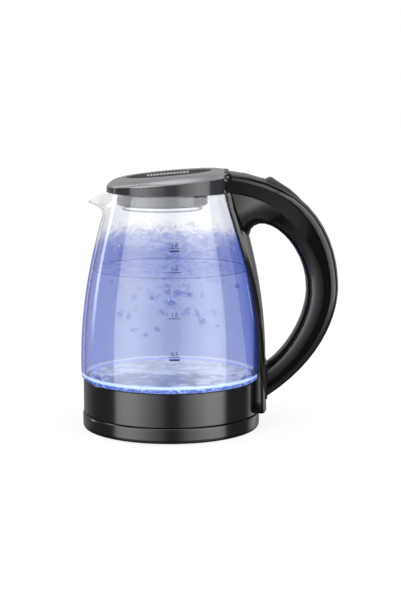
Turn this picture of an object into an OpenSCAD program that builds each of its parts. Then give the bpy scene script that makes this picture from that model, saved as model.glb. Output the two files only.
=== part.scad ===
// Cordless glass kettle on a round power base.
// Millimetres. The axis of the jug and of the base is Z, the table is z = 0,
// the spout points to -X and the handle to +X.

/* [Power base] */
// Outer diameter of the power base
base_d = 152; // [146:1:164]
// Height of the power base from the table to its rim
base_h = 13.5; // [12.5:0.5:20]
// Wall thickness of the mouldings of the power base
base_wall = 2.2; // [1.6:0.1:3]
// Depth of the deck of the power base below its rim
deck_drop = 2.5; // [1.5:0.1:4]
// Diameter of the connector post in the middle of the base
post_d = 34; // [32:0.5:36]
// Height of the connector post above the deck
post_h = 14; // [12:0.5:16]
// Thickness of the non-slip ring under the base
foot_h = 1.2; // [0.8:0.1:2]
// Diameter of the round cord that the bushing at the rear takes
cord_d = 6.8; // [6:0.1:8]

/* [Jug] */
// How far the collar round the foot of the jug stands in from the edge of the power base
collar_inset = 0.7; // [0.4:0.1:1.5]
// Height of the collar
collar_h = 29; // [27:0.5:36]
// Wall thickness of the collar
collar_wall = 2.2; // [1.8:0.1:2.8]
// Thickness of the glass
glass_wall = 2.5; // [2:0.1:3]
// Step of the glass outwards from the collar to its shoulder
shoulder_step = 1.8; // [1.2:0.1:3]
// Outer diameter of the glass at its mouth
mouth_d = 106.8; // [102:0.4:112]
// Height of the glass from the top of the collar to the rim of its mouth
glass_h = 159; // [145:1:175]
// How far the spout reaches out of the mouth
spout_reach = 17.8; // [12:0.2:22]
// How far the tip of the spout lies below the rim
spout_drop = 8.4; // [4:0.2:11]
// Width of the spout at its root
spout_w = 34; // [26:1:44]

/* [Heater] */
// Distance from the rim of the steel heating plate to the inside of the collar
plate_margin = 7.1; // [6.5:0.1:9]
// Thickness of the steel of the heating plate
plate_t = 0.8; // [0.5:0.1:1.2]
// Diameter of the ring of the tubular heating element
element_d = 78; // [74:1:88]
// Diameter of the tube of the heating element
element_tube_d = 7; // [6:0.5:8]
// Number of lamps under the light ring
lamp_count = 12; // [6:1:18]

/* [Lid] */
// How far the lid stands out over the mouth of the jug
lid_overhang = 0.8; // [0.4:0.1:1.2]
// Slope of the top of the lid, which rises towards the hinge, in degrees
lid_tilt = 5; // [3:0.5:6]
// Height of the side band of the lid at the spout
lid_band_h = 4.4; // [3.5:0.1:6]
// Height of the dome of the lid above its side band
lid_dome_h = 9; // [8:0.2:11]
// Wall thickness of the mouldings of the lid
lid_wall = 2; // [1.6:0.1:2.6]
// Diameter of the metal plug ring under the lid
plug_d = 77.2; // [70:0.4:80]
// Depth of the metal plug ring
plug_h = 11.4; // [9:0.2:13]
// Distance from the axis of the jug to the middle of the plug, towards the spout
plug_shift = 7; // [5:0.5:9]
// Depth of the clear baffle under the plug
baffle_h = 3.6; // [2.5:0.1:5]
// Length of the oval inlay in the top of the lid, from the spout to the hinge
inlay_l = 73; // [64:1:76]
// Width of the oval inlay
inlay_w = 62; // [52:1:72]
// Number of ribs on the bright strip in the top of the lid
trim_ribs = 13; // [9:1:15]

/* [Handle] */
// Distance from the side of the collar to the outermost point of the grip
grip_stand = 67.5; // [62:0.5:76]
// Height of the outermost point of the grip above the table
grip_mid_z = 120; // [112:1:128]
// Radial thickness of the grip
grip_t = 27.1; // [24:0.1:29]
// Width of the grip
grip_w = 30; // [28:0.5:32]
// Width of the top of the handle where it meets the lid
yoke_w = 60; // [54:1:62]
// Thickness of the strap that lies along the glass
strap_t = 3.8; // [3.2:0.1:4.6]
// Wall thickness of the shells of the grip
shell_wall = 2.2; // [1.8:0.1:2.8]
// Width of the release button
button_w = 15; // [12:0.5:17]
// Width of the rocker of the power switch
switch_w = 18; // [14:0.5:20]
// Diameter of the hinge pin of the lid
hinge_pin_d = 2.4; // [2:0.1:3]

/* [Fits] */
// Gap between pieces that move past one another
gap = 0.3; // [0.25:0.01:0.4]
// Radial clearance of a pin that turns in a bore
running_fit = 0.06; // [0.03:0.01:0.09]

/* [Hidden] */
$fn = 64;
eps = 0.01;
// Longer than any piece: the reach of the blocks that cut one
far = 400;

// ---- Levels and radii that pieces share -------------------------------------------------
base_r = base_d / 2;
rim_z = base_h;
deck_z = rim_z - deck_drop;
post_r = post_d / 2;
post_z = deck_z + post_h;
collar_r = base_r - collar_inset;
collar_in_r = collar_r - collar_wall;
collar_z = rim_z + gap;
collar_top = collar_z + collar_h;
ledge_z = collar_z + 13.2;
ledge_t = 2;
plate_r = collar_in_r - plate_margin;
ledge_r = plate_r - 8;
board_t = 1;
lamp_h = 1;
guide_z = ledge_z + ledge_t + board_t + lamp_h + 0.2;
guide_t = 3;
foot_glass_r = collar_in_r - gap;
foot_glass_z = guide_z + guide_t;
shoulder_r = collar_r + shoulder_step;
glass_z0 = collar_top + 3.2;
mouth_r = mouth_d / 2;
rim_top = collar_top + glass_h;
throat_z = rim_top - 20.5;
plate_z = collar_top + 0.2;
plate_flange_z = foot_glass_z + 0.2;
spreader_t = 3;
element_r = element_d / 2;
tube_r = element_tube_d / 2;
element_z = plate_z - plate_t - spreader_t - tube_r;
socket_r = post_r + 3.9;
socket_top = post_z + 1.5;
controller_z = deck_z + 4.6;
controller_r = socket_r + 3.1;
blade_bottom = deck_z + 1;
groove_floor = deck_z - 1.2;
groove_rings = [[7, 9.2], [12, 14.2]];
pin_r = 2.2;
pin_bore = 4;
screw_angles = [60, 180, 300];
base_screw_ring = base_r - 26;
cord_r = cord_d / 2;

function smooth(t) = let(c = min(max(t, 0), 1)) c * c * (3 - 2 * c);
function bez(p, t) = pow(1 - t, 3) * p[0] + 3 * pow(1 - t, 2) * t * p[1]
                     + 3 * (1 - t) * t * t * p[2] + pow(t, 3) * p[3];
function unit(v) = v / norm(v);
function polar(r, a) = [r * cos(a), r * sin(a)];

// A closed solid through rings of points: every ring has the same number of points.
// Its end caps are fans, or strips between the two halves of each ring for a bent band.
module loft(rings, closed = false, strip = false) {
    n = len(rings[0]);
    m = len(rings);
    last = closed ? m : m - 1;
    walls = [for (i = [0:last - 1], j = [0:n - 1])
        let(i2 = (i + 1) % m, j2 = (j + 1) % n, a = i * n + j, b = i * n + j2,
            c = i2 * n + j2, d = i2 * n + j)
        each [[a, b, c], [a, c, d]]];
    fans = [[for (j = [n - 1:-1:0]) j], [for (j = [0:n - 1]) (m - 1) * n + j]];
    strips = [for (j = [0:n / 2 - 2], k = [0, (m - 1) * n])
        let(a = k + j, b = k + j + 1, c = k + n - 2 - j, d = k + n - 1 - j)
        each k == 0 ? [[a, c, b], [a, d, c]] : [[a, b, c], [a, c, d]]];
    caps = closed ? [] : strip ? strips : fans;
    polyhedron(points = [for (ring = rings) each ring], faces = concat(walls, caps), convexity = 8);
}

// A wire of round section along points, for springs and tubes.
module wire(path, r, sides = 6) {
    m = len(path);
    rings = [for (i = [0:m - 1])
        let(t = unit(path[min(i + 1, m - 1)] - path[max(i - 1, 0)]),
            side = unit(cross(t, abs(t[1]) > 0.9 ? [1, 0, 0] : [0, 1, 0])),
            up = cross(side, t))
        [for (k = [0:sides - 1]) path[i] + r * (cos(360 * k / sides) * side + sin(360 * k / sides) * up)]];
    loft(rings);
}

function helix(r, turns, height, per_turn = 12) =
    [for (i = [0:turns * per_turn])
        [r * cos(360 * i / per_turn), r * sin(360 * i / per_turn), height * i / (turns * per_turn)]];

module ring(r_in, r_out, z0, z1) {
    rotate_extrude() polygon([[r_in, z0], [r_out, z0], [r_out, z1], [r_in, z1]]);
}

// ---- Glass jug --------------------------------------------------------------------------
glass_curve = [[shoulder_r, glass_z0], [shoulder_r + 2.1, glass_z0 + 0.54 * (rim_top - glass_z0)],
               [mouth_r + 1.1, rim_top - 15.8], [mouth_r, rim_top]];
function curve_at(z, lo = 0, hi = 1, n = 22) = let(mid = (lo + hi) / 2)
    n == 0 ? mid : bez(glass_curve, mid)[1] < z ? curve_at(z, mid, hi, n - 1) : curve_at(z, lo, mid, n - 1);
function glass_r(z) = bez(glass_curve, curve_at(z))[0];

// Weight of the spout at an angle away from it: 1 at its middle, 0 away from it.
spout_half_angle = asin(spout_w / 2 / mouth_r) * 1.55;
function spout_weight(a) = abs(a) >= spout_half_angle ? 0 : pow(cos(90 * abs(a) / spout_half_angle), 2);

// The outer line of the glass at an angle from the spout, from its foot to its rim.
lip_h = 0.45 * glass_wall;
foot_line = [[foot_glass_r, foot_glass_z], [foot_glass_r, collar_top - 1.0],
             [foot_glass_r + 0.5, collar_top + 0.1], [shoulder_r - 1.6, collar_top + 0.7],
             [shoulder_r - 0.3, collar_top + 1.8]];
body_rows = 11;
neck_rows = 8;
function glass_line(a) = let(w = spout_weight(a)) concat(foot_line,
    [for (i = [0:body_rows]) let(z = glass_z0 + (throat_z - glass_z0) * i / body_rows) [glass_r(z), z]],
    [for (i = [1:neck_rows]) let(s = i / neck_rows, z = throat_z + s * (rim_top - lip_h - throat_z))
        [glass_r(z) + spout_reach * w * pow(s, 2.2), z - spout_drop * pow(w, 1.8) * s]]);
function inset(line, d) = [for (i = [0:len(line) - 1])
    let(t = unit(line[min(i + 1, len(line) - 1)] - line[max(i - 1, 0)])) line[i] + d * [-t[1], t[0]]];
function glass_ring(a) = let(out = glass_line(a), inn = inset(out, glass_wall), n = len(out) - 1,
        t = unit(out[n] - out[n - 1]), lip = (out[n] + inn[n]) / 2 + lip_h * t)
    [for (p = concat(out, [lip], [for (i = [n:-1:0]) inn[i]]))
        [-p[0] * cos(a), -p[0] * sin(a), p[1]]];
glass_angles = concat([for (a = [-spout_half_angle:spout_half_angle / 8:spout_half_angle - 0.1]) a],
    [for (i = [0:43]) spout_half_angle + (360 - 2 * spout_half_angle) * i / 44]);

module glass_jug() {
    color([0.80, 0.84, 0.97, 0.35])
    loft([for (a = glass_angles) glass_ring(a)], closed = true);
}

// ---- Power base -------------------------------------------------------------------------
module base_cover() {
    color([0.07, 0.07, 0.08])
    difference() {
        rotate_extrude($fn = 128) polygon([
            [base_r - 1.0, foot_h - 0.4], [base_r - 0.2, foot_h + 0.8], [base_r, foot_h + 2.4],
            [base_r, rim_z - 1.6], [base_r - 0.3, rim_z - 0.6], [base_r - 1, rim_z],
            [base_r - 5, rim_z], [base_r - 6.6, deck_z], [post_r + 2.2, deck_z],
            [post_r + 1.4, deck_z - 1.1], [post_r + gap, deck_z - 1.1],
            [post_r + gap, deck_z - base_wall - 1.4], [post_r + 2.6, deck_z - base_wall - 1.4],
            [post_r + 3.6, deck_z - base_wall], [base_r - 8, deck_z - base_wall],
            [base_r - 5.6, rim_z - base_wall], [base_r - base_wall, rim_z - base_wall],
            [base_r - base_wall, foot_h - 0.4]]);
        cord_opening(bushing_r + 0.05);
    }
    color([0.07, 0.07, 0.08])
    for (a = screw_angles) rotate(a) translate([base_screw_ring, 0, plate_top])
        difference() {
            cylinder(r = 4, h = deck_z - base_wall - plate_top + eps);
            translate([0, 0, -1]) cylinder(r = 1.4, h = 6);
        }
}

plate_top = foot_h - 0.4 + base_wall;
bushing_r = cord_r + 1.4;
bushing_depth = 5;
module cord_opening(r) {
    translate([0, base_r - bushing_depth - 0.1, cord_z]) rotate([-90, 0, 0]) cylinder(r = r, h = 20);
}
cord_z = (foot_h - 0.4 + rim_z) / 2 + 0.1;

module base_plate() {
    color([0.10, 0.10, 0.11])
    difference() {
        rotate_extrude($fn = 128) polygon([
            [0, foot_h - 0.4], [foot_in, foot_h - 0.4], [foot_in, foot_h + 0.2], [foot_out, foot_h + 0.2],
            [foot_out, foot_h - 0.4], [base_r - base_wall - 0.2, foot_h - 0.4],
            [base_r - base_wall - 0.2, plate_top], [0, plate_top]]);
        for (a = screw_angles) rotate(a) translate([base_screw_ring, 0, 0]) {
            translate([0, 0, -1]) cylinder(r = 1.8, h = 8);
            translate([0, 0, -1]) cylinder(r = 3.4, h = 1 + foot_h + 0.6);
        }
        cord_opening(bushing_r + 0.05);
    }
}
foot_out = base_r - 12;
foot_in = foot_out - 6;

module foot_ring() {
    color([0.18, 0.18, 0.19])
    rotate_extrude($fn = 128) polygon([[foot_in + 0.2, 0], [foot_out - 0.2, 0], [foot_out, 0.4],
        [foot_out, foot_h + 0.2], [foot_in, foot_h + 0.2], [foot_in, 0.4]]);
}

module base_connector() {
    color([0.13, 0.13, 0.14])
    rotate_extrude() difference() {
        polygon([[0, plate_top], [post_r + 5, plate_top], [post_r + 5, plate_top + 2],
            [post_r, plate_top + 2], [post_r, post_z - 1], [post_r - 1, post_z],
            [pin_bore + 1, post_z], [pin_bore, post_z - 1], [pin_bore, groove_floor], [0, groove_floor]]);
        for (g = groove_rings)
            translate([g[0], groove_floor]) square([g[1] - g[0], post_z]);
    }
}

module connector_contacts() {
    color([0.80, 0.62, 0.28]) {
        ring(pin_bore - 0.9, pin_bore, groove_floor, post_z - 5);
        for (g = groove_rings) ring(g[1] - 0.5, g[1], groove_floor, post_z - 4);
    }
}

module base_screws() {
    color([0.72, 0.73, 0.75])
    for (a = screw_angles) rotate(a) translate([base_screw_ring, 0, 0]) {
        translate([0, 0, foot_h - 0.2]) cylinder(r = 3.1, h = 0.8);
        translate([0, 0, foot_h + 0.6 - eps]) cylinder(r = 1.4, h = plate_top - foot_h + 3.4);
    }
}

module cord_bushing() {
    color([0.08, 0.08, 0.09])
    translate([0, base_r, cord_z]) rotate([90, 0, 0])
    difference() {
        union() {
            translate([0, 0, -1.8]) cylinder(r = bushing_r + 0.8, h = 1.6);
            translate([0, 0, -0.3]) cylinder(r = bushing_r, h = bushing_depth + 0.3);
        }
        translate([0, 0, -4]) cylinder(r = cord_r + 0.2, h = 16);
    }
}

module swivel_ring() {
    color([0.85, 0.86, 0.88])
    ring(post_r + running_fit, socket_r - 0.5, deck_z + gap, deck_z + 2.4);
}

// ---- Kettle: underside and heater -------------------------------------------------------
module base_collar() {
    color([0.07, 0.07, 0.08])
    difference() {
        union() {
            rotate_extrude($fn = 128) polygon([
                [collar_in_r, collar_z], [collar_r - 0.8, collar_z], [collar_r, collar_z + 0.8],
                [collar_r, collar_top - 0.8], [collar_r - 0.5, collar_top], [collar_in_r, collar_top - 0.6],
                [collar_in_r, ledge_z + ledge_t], [ledge_r, ledge_z + ledge_t], [ledge_r, ledge_z],
                [collar_in_r, ledge_z]]);
            for (a = screw_angles) rotate(a) translate([boss_ring, 0, cover_top])
                cylinder(r = 3.6, h = ledge_z - cover_top + eps);
        }
        for (a = screw_angles) rotate(a) translate([boss_ring, 0, cover_top - 1]) cylinder(r = 1.4, h = 9);
        handle_screw_places() cylinder(r = 1.8, h = 8, center = true);
    }
}
cover_z = collar_z + 1.4;
cover_top = cover_z + 2.2;
boss_ring = collar_in_r - 7;

module bottom_cover() {
    color([0.10, 0.10, 0.11])
    difference() {
        rotate_extrude($fn = 128) polygon([[controller_r + 0.2, cover_z], [collar_in_r - 0.2, cover_z],
            [collar_in_r - 0.2, cover_top], [controller_r + 0.2, cover_top]]);
        for (a = screw_angles) rotate(a) translate([boss_ring, 0, cover_z]) {
            translate([0, 0, -1]) cylinder(r = 1.8, h = 8);
            translate([0, 0, -1]) cylinder(r = 3.3, h = 2);
        }
    }
}

module bottom_screws() {
    color([0.72, 0.73, 0.75])
    for (a = screw_angles) rotate(a) translate([boss_ring, 0, cover_z]) {
        translate([0, 0, 0.1]) cylinder(r = 3, h = 0.9);
        translate([0, 0, 1 - eps]) cylinder(r = 1.4, h = 6.5);
    }
}

module led_board() {
    color([0.16, 0.42, 0.26])
    ring(plate_r + 0.8, collar_in_r - 0.4, ledge_z + ledge_t, ledge_z + ledge_t + board_t);
}
lamp_ring = (plate_r + collar_in_r + 0.4) / 2;
module led_lamps() {
    color([0.75, 0.85, 1.0])
    for (i = [0:lamp_count - 1]) rotate(360 * (i + 0.5) / lamp_count)
        translate([lamp_ring - 1.2, -1.6, ledge_z + ledge_t + board_t]) cube([2.4, 3.2, lamp_h]);
}

module light_ring() {
    color([0.78, 0.84, 1.0, 0.6])
    rotate_extrude($fn = 128) polygon([[plate_r + 2.3, guide_z], [collar_in_r - 0.3, guide_z],
        [collar_in_r - 0.3, guide_z + guide_t], [foot_glass_r - glass_wall - 0.3, guide_z + guide_t],
        [foot_glass_r - glass_wall - 0.3, plate_z + 2.0], [foot_glass_r - glass_wall - 0.9, plate_z + 2.6],
        [plate_r + 2.3, plate_z + 2.6]]);
}

module heating_plate() {
    color([0.80, 0.81, 0.83])
    rotate_extrude($fn = 128) polygon([
        [0, plate_z - plate_t], [groove_r - 2.6, plate_z - plate_t], [groove_r - 1.4, plate_z - plate_t - 1.2],
        [groove_r + 1.4, plate_z - plate_t - 1.2], [groove_r + 2.6, plate_z - plate_t],
        [plate_r - 1.6, plate_z - plate_t], [plate_r - plate_t, plate_z - plate_t - 0.8],
        [plate_r - plate_t, plate_flange_z + plate_t], [plate_r - plate_t, plate_flange_z],
        [plate_r + 1.9, plate_flange_z], [plate_r + 1.9, plate_flange_z + plate_t],
        [plate_r, plate_flange_z + plate_t], [plate_r, plate_z - 1], [plate_r - 1, plate_z],
        [groove_r + 2.2, plate_z], [groove_r + 1, plate_z - 1.2], [groove_r - 1, plate_z - 1.2],
        [groove_r - 2.2, plate_z], [0, plate_z]]);
}
groove_r = plate_r - 6;

module plate_seal() {
    color([0.86, 0.87, 0.90])
    rotate_extrude($fn = 128) polygon([[plate_r, plate_flange_z + plate_t],
        [plate_r + 2.3, plate_flange_z + plate_t], [plate_r + 2.3, plate_z + 0.6],
        [plate_r + 1.2, plate_z + 1.2], [plate_r, plate_z + 0.6]]);
}

module clamp_ring() {
    color([0.68, 0.69, 0.71])
    rotate_extrude() polygon([[ledge_r, ledge_z + ledge_t], [ledge_r + 4, ledge_z + ledge_t],
        [ledge_r + 4, plate_flange_z - 1.6], [plate_r, plate_flange_z - 1.6], [plate_r, plate_flange_z],
        [ledge_r, plate_flange_z]]);
}

module heat_spreader() {
    color([0.70, 0.71, 0.74])
    translate([0, 0, plate_z - plate_t - spreader_t]) cylinder(r = element_r + tube_r + 3, h = spreader_t);
}

module heating_element() {
    color([0.55, 0.55, 0.57]) {
        translate([0, 0, element_z]) rotate(25) rotate_extrude(angle = 310) translate([element_r, 0])
            circle(r = tube_r, $fn = 32);
        for (a = [25, 335]) rotate(a) translate([element_r, 0, element_z - 9]) {
            cylinder(r = tube_r, h = 9, $fn = 32);
            translate([0, 0, -4]) cylinder(r = 1.2, h = 5, $fn = 24);
        }
    }
}

module controller() {
    color([0.88, 0.88, 0.86])
    rotate_extrude() polygon([[0, socket_top], [socket_r, socket_top], [socket_r, controller_z],
        [controller_r, controller_z], [controller_r, socket_top + 4],
        [controller_r - 5, plate_z - plate_t - spreader_t], [0, plate_z - plate_t - spreader_t]]);
}

module controller_contacts() {
    color([0.80, 0.62, 0.28]) {
        translate([0, 0, blade_bottom + 1]) cylinder(r1 = 1.5, r2 = pin_r, h = 1.5);
        translate([0, 0, blade_bottom + 2.5 - eps]) cylinder(r = pin_r, h = socket_top - blade_bottom - 2.5 + eps);
        for (g = groove_rings) ring(g[0] + 0.6, g[1] - 1, blade_bottom + 1, socket_top);
    }
}

// ---- Handle: shared curves --------------------------------------------------------------
lid_r = mouth_r + lid_overhang;
lid_z = rim_top + gap;
lid_cut = sqrt(pow(lid_r, 2) - pow(yoke_w / 2, 2));
yoke_x = lid_cut + 2 * gap;
yoke_top = rim_top + 17.4;
yoke_floor = rim_top + 1.4;
hinge_x = yoke_x + 1.8;
hinge_z = yoke_top - 3.2;
barrel_r = 3.3;
hinge_ear = [18, 23.6];
pin_hinge_r = hinge_pin_d / 2;
root_x = collar_r + 7.1;
root_top = collar_z + 41.2;
root_low = collar_z + 12.4;
grip_reach = collar_r + grip_stand;
grip_in_x = grip_reach - grip_t;
corner_z = rim_top - 36.8;

// Outer radius of the strap at a height: along the glass, then out over the collar.
function strap_r(z) = let(k = smooth((z - collar_top + 14) / 32))
    (1 - k) * (collar_r + 7) + k * (glass_r(max(z, glass_z0)) + gap + strap_t);
corner_x = strap_r(corner_z) + 0.3;

// Each curve of the side view runs from the lid (s = 0) over the grip (s = 1) to the foot (s = 2).
outer_curve = [[[yoke_x, yoke_top], [yoke_x + 0.915 * (grip_reach - yoke_x), yoke_top - 7.9],
                [grip_reach, grip_mid_z + 0.25 * (yoke_top - grip_mid_z)], [grip_reach, grip_mid_z]],
               [[grip_reach, grip_mid_z], [grip_reach, grip_mid_z - 0.215 * (grip_mid_z - root_low)],
                [root_x + 0.82 * (grip_reach - root_x), root_low + 0.353 * (grip_mid_z - root_low)],
                [root_x, root_low]]];
rib_x = grip_reach - 0.258 * grip_t;
rib_curve = [[[yoke_x, yoke_top - 5], [yoke_x + 0.835 * (rib_x - yoke_x), yoke_top - 12],
              [rib_x, grip_mid_z + 0.3 * (yoke_top - grip_mid_z)], [rib_x, grip_mid_z - 0.5]],
             [[rib_x, grip_mid_z - 0.5], [rib_x, grip_mid_z - 0.22 * (grip_mid_z - root_low)],
              [root_x + 0.81 * (rib_x - root_x), root_low + 8 + 0.34 * (grip_mid_z - root_low - 8)],
              [root_x, root_low + 8]]];
lobe_x = grip_reach - 0.48 * grip_t;
lobe_curve = [[[strap_r(yoke_floor) + 0.2, yoke_floor - 0.8], [strap_r(yoke_floor) + 28, yoke_floor - 4],
               [lobe_x, grip_mid_z + 0.46 * (yoke_floor - grip_mid_z)], [lobe_x, grip_mid_z - 1]],
              [[lobe_x, grip_mid_z - 1], [lobe_x, grip_mid_z - 0.28 * (grip_mid_z - root_low)],
               [root_x + 0.6 * (lobe_x - root_x), root_low + 13.4 + 0.24 * (grip_mid_z - root_low - 13)],
               [root_x, root_low + 13.4]]];
palm_curve = [[[corner_x, corner_z], [corner_x + 3.4, corner_z + 25.8],
               [grip_in_x, grip_mid_z - 1.5 + (corner_z - grip_mid_z)], [grip_in_x, grip_mid_z - 1.5]],
              [[grip_in_x, grip_mid_z - 1.5], [grip_in_x, grip_mid_z - 0.395 * (grip_mid_z - root_top)],
               [root_x + 0.5 * (grip_in_x - root_x), root_top + 0.178 * (grip_mid_z - root_top)],
               [root_x, root_top]]];
function along(curve, s) = s <= 1 ? bez(curve[0], s) : bez(curve[1], s - 1);
steps = 13;
stations = [for (i = [0:2 * steps]) i / steps];

// Half widths of the handle along the curves
function top_w(s) = grip_w / 2 + (yoke_w - grip_w) / 2 * (1 - smooth(s / 0.48));
function palm_w(s) = grip_w / 2 + 12 * (1 - smooth(s / 0.42));

// One section of a shell of the grip, as a rounded channel that opens towards the core.
// crown is the middle of its rounded face, base the middle of its open side.
function crown_line(w, d, e, n) = [for (i = [0:n]) let(a = -90 + 180 * i / n)
    [w * sign(sin(a)) * pow(abs(sin(a)), e), d * (1 - pow(abs(cos(a)), e))]];
function channel(crown, base, w, bend, side) = let(h = norm(base - crown), dir = (base - crown) / h,
        wall = min(shell_wall, h * 0.55),
        out = crown_line(w, h, 0.62, 12),
        inn = [for (p = crown_line(w - shell_wall, h - wall, 0.62, 12)) [p[0], p[1] + wall]],
        line = concat(out, [for (i = [12:-1:0]) inn[i]]))
    [for (p = line) let(q = crown + dir * p[1]) [q[0] - bend * lag(p[0], q[1]), side * p[0], q[1]]];
// How far the round face of the strap falls back at a distance y from its middle
function lag(y, z) = let(r = strap_r(z)) r - sqrt(r * r - y * y);

module handle_outer() {
    color([0.09, 0.09, 0.10])
    difference() {
        loft([for (s = stations) channel(along(outer_curve, s), along(rib_curve, s), top_w(s), 0, 1)],
            strip = true);
        hinge_hollow();
        translate([button_x0 - 1.5, -button_w / 2 - 0.4, pivot_z])
            cube([button_x1 - button_x0 + 2.2, button_w + 0.8, far]);
    }
}

module handle_inner() {
    color([0.07, 0.07, 0.08])
    loft([for (s = stations) channel(along(palm_curve, s), along(lobe_curve, s), palm_w(s),
                                     1 - smooth(s / 0.35), -1)], strip = true);
}

// The hollow in front of the yoke in which the round rear end of the lid turns
module hinge_hollow() {
    translate([hinge_x, 0, hinge_z]) rotate([90, 0, 0])
        cylinder(r = barrel_r + gap + 0.1, h = yoke_w + 4, center = true);
    translate([hinge_x - 20, -yoke_w / 2 - 2, hinge_z - barrel_r - gap - 0.1]) cube([20, yoke_w + 4, far]);
}

core_recess = 2;
module side_plate(points, half_w) {
    rotate([90, 0, 0]) linear_extrude(2 * half_w, center = true) polygon(points);
}
upper = [for (i = [0:steps]) i / steps];
lower = [for (i = [steps:2 * steps]) i / steps];
module handle_core() {
    color([0.05, 0.05, 0.06])
    difference() {
        union() {
            intersection() {
                side_plate(concat([for (s = upper) along(rib_curve, s)],
                    [for (i = [steps:-1:0]) along(lobe_curve, i / steps)],
                    [[strap_r(yoke_floor) - 6, yoke_floor], [yoke_x, yoke_floor]]), yoke_w / 2);
                linear_extrude(far) polygon(concat(
                    [for (s = upper) [along(rib_curve, s)[0], top_w(s) - core_recess * smooth(s * 6 + 0.3)]],
                    [for (i = [steps:-1:0]) let(s = i / steps)
                        [along(rib_curve, s)[0], core_recess * smooth(s * 6 + 0.3) - top_w(s)]]));
            }
            side_plate(concat([for (s = lower) along(rib_curve, s)],
                [for (i = [2 * steps:-1:steps]) along(lobe_curve, i / steps)]),
                grip_w / 2 - core_recess);
            for (side = [-1, 1]) translate([0, side * (button_w / 2 + 1.4), 0]) pivot_ear();
        }
        rotate_extrude() polygon(concat([[0, 0]],
            [for (i = [0:14]) let(z = yoke_floor * i / 14) [strap_r(z) + 0.05, z]], [[0, yoke_floor]]));
        difference() {
            hinge_hollow();
            for (side = [-1, 1]) translate([0, side * (hinge_ear[0] + hinge_ear[1]) / 2, 0]) hinge_lug();
        }
        translate([hinge_x, 0, hinge_z]) rotate([90, 0, 0]) cylinder(r = pin_hinge_r, h = yoke_w, center = true);
        side_plate(latch_pocket, 4.2 + gap);
        side_plate(button_pocket, button_w / 2 + 0.5);
        translate([0, tube_y, 0]) side_plate(tube_slot, 3.1);
        translate([pivot_x, 0, pivot_z]) rotate([90, 0, 0])
            cylinder(r = pivot_r + running_fit, h = button_w + 2 * 2.8, center = true);
        translate([latch_x, 0, latch_z]) rotate([90, 0, 0])
            cylinder(r = pivot_r, h = latch_pin_l, center = true);
    }
}
module hinge_lug() {
    translate([hinge_x, 0, hinge_z]) rotate([90, 0, 0])
        linear_extrude(hinge_ear[1] - hinge_ear[0], center = true) {
            circle(r = barrel_r);
            translate([0, -barrel_r - 1]) square([barrel_r + 2, 2 * barrel_r - 0.4]);
        }
}

// ---- Handle: strap and foot -------------------------------------------------------------
function strap_half(z) = 24.5 + 6.5 * smooth((z - collar_top - 57) / 65) + 3 * smooth((collar_top + 32 - z) / 20)
    - 3 * smooth((collar_z + 4 - z) / 4);
function strap_in_r(z) = z < collar_top - 2 ? collar_r + gap : glass_r(max(z, glass_z0)) + gap;
strap_rows = concat([collar_z + 0.8, collar_z + 2.4, collar_z + 5, collar_z + 12, collar_z + 20,
    collar_top - 2.5, collar_top + 4], [for (i = [1:12]) collar_top + 4 + (yoke_floor - 0.2 - collar_top - 4) * i / 12]);
function strap_section(z) = let(w = strap_half(z), ro = strap_r(z), ri = strap_in_r(z),
        a = asin(w / ro), b = 2.2)
    concat([[ro - 1.5, a]], [for (i = [3:-1:-3]) [ro, (a - b) * i / 3]], [[ro - 1.5, -a]],
           [for (i = [-4:4]) [ri, a * i / 4]]);
module handle_strap() {
    color([0.08, 0.08, 0.09])
    difference() {
        union() {
            loft([for (z = strap_rows) [for (p = strap_section(z)) concat(polar(p[0], p[1]), [z])]], strip = true);
            translate([collar_r + 2.5, -grip_w / 2 - 0.6, root_low - 0.8])
                cube([root_x - collar_r - 2.6, grip_w + 1.2, root_top - root_low + 1.6]);
        }
        translate([collar_r - 2, -switch_w / 2 - 0.5, switch_z - 5.8]) cube([20, switch_w + 1, 11.6]);
        translate([collar_r - 2, -frame_w / 2 - 0.1, switch_z - 6.9]) cube([2 + frame_t + 0.5, frame_w + 0.2, 13.8]);
        translate([collar_r + 2, tube_y - 3, root_low + 7.4]) cube([8, 6, 6.4]);
        handle_screw_places() cylinder(r = 1.4, h = 30, center = true);
    }
}
frame_t = 3.6;
frame_w = switch_w + 7;
switch_z = collar_z + 7.4;
switch_x = collar_r + 2.6;
module handle_screw_places() {
    for (side = [-1, 1]) translate([collar_r - 1, side * (frame_w / 2 + 4.5), collar_z + 7.4])
        rotate([0, 90, 0]) children();
}
module handle_screws() {
    color([0.72, 0.73, 0.75])
    handle_screw_places() {
        translate([0, 0, -6.2]) cylinder(r = 2.8, h = 1.6);
        translate([0, 0, -4.7]) cylinder(r = 1.4, h = 9.6);
    }
}
module switch_frame() {
    color([0.22, 0.22, 0.24])
    difference() {
        translate([collar_r + gap, -frame_w / 2, switch_z - 6.8]) cube([frame_t, frame_w, 13.6]);
        translate([collar_r - 4, -switch_w / 2 - 0.5, switch_z - 5.7]) cube([12, switch_w + 1, 11.4]);
        translate([switch_x, 0, switch_z]) rotate([90, 0, 0])
            cylinder(r = pivot_r + running_fit, h = frame_w + 2, center = true);
    }
}
module power_switch() {
    color([0.20, 0.20, 0.22]) {
        intersection() {
            translate([collar_r + 1.2, -switch_w / 2, switch_z - 5]) cube([12, switch_w, 10]);
            ring(0, strap_r(switch_z) - 0.2, switch_z - 9, switch_z + 9);
        }
        translate([switch_x, 0, switch_z]) rotate([90, 0, 0])
            cylinder(r = pivot_r, h = switch_w + 5, center = true);
    }
}

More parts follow.
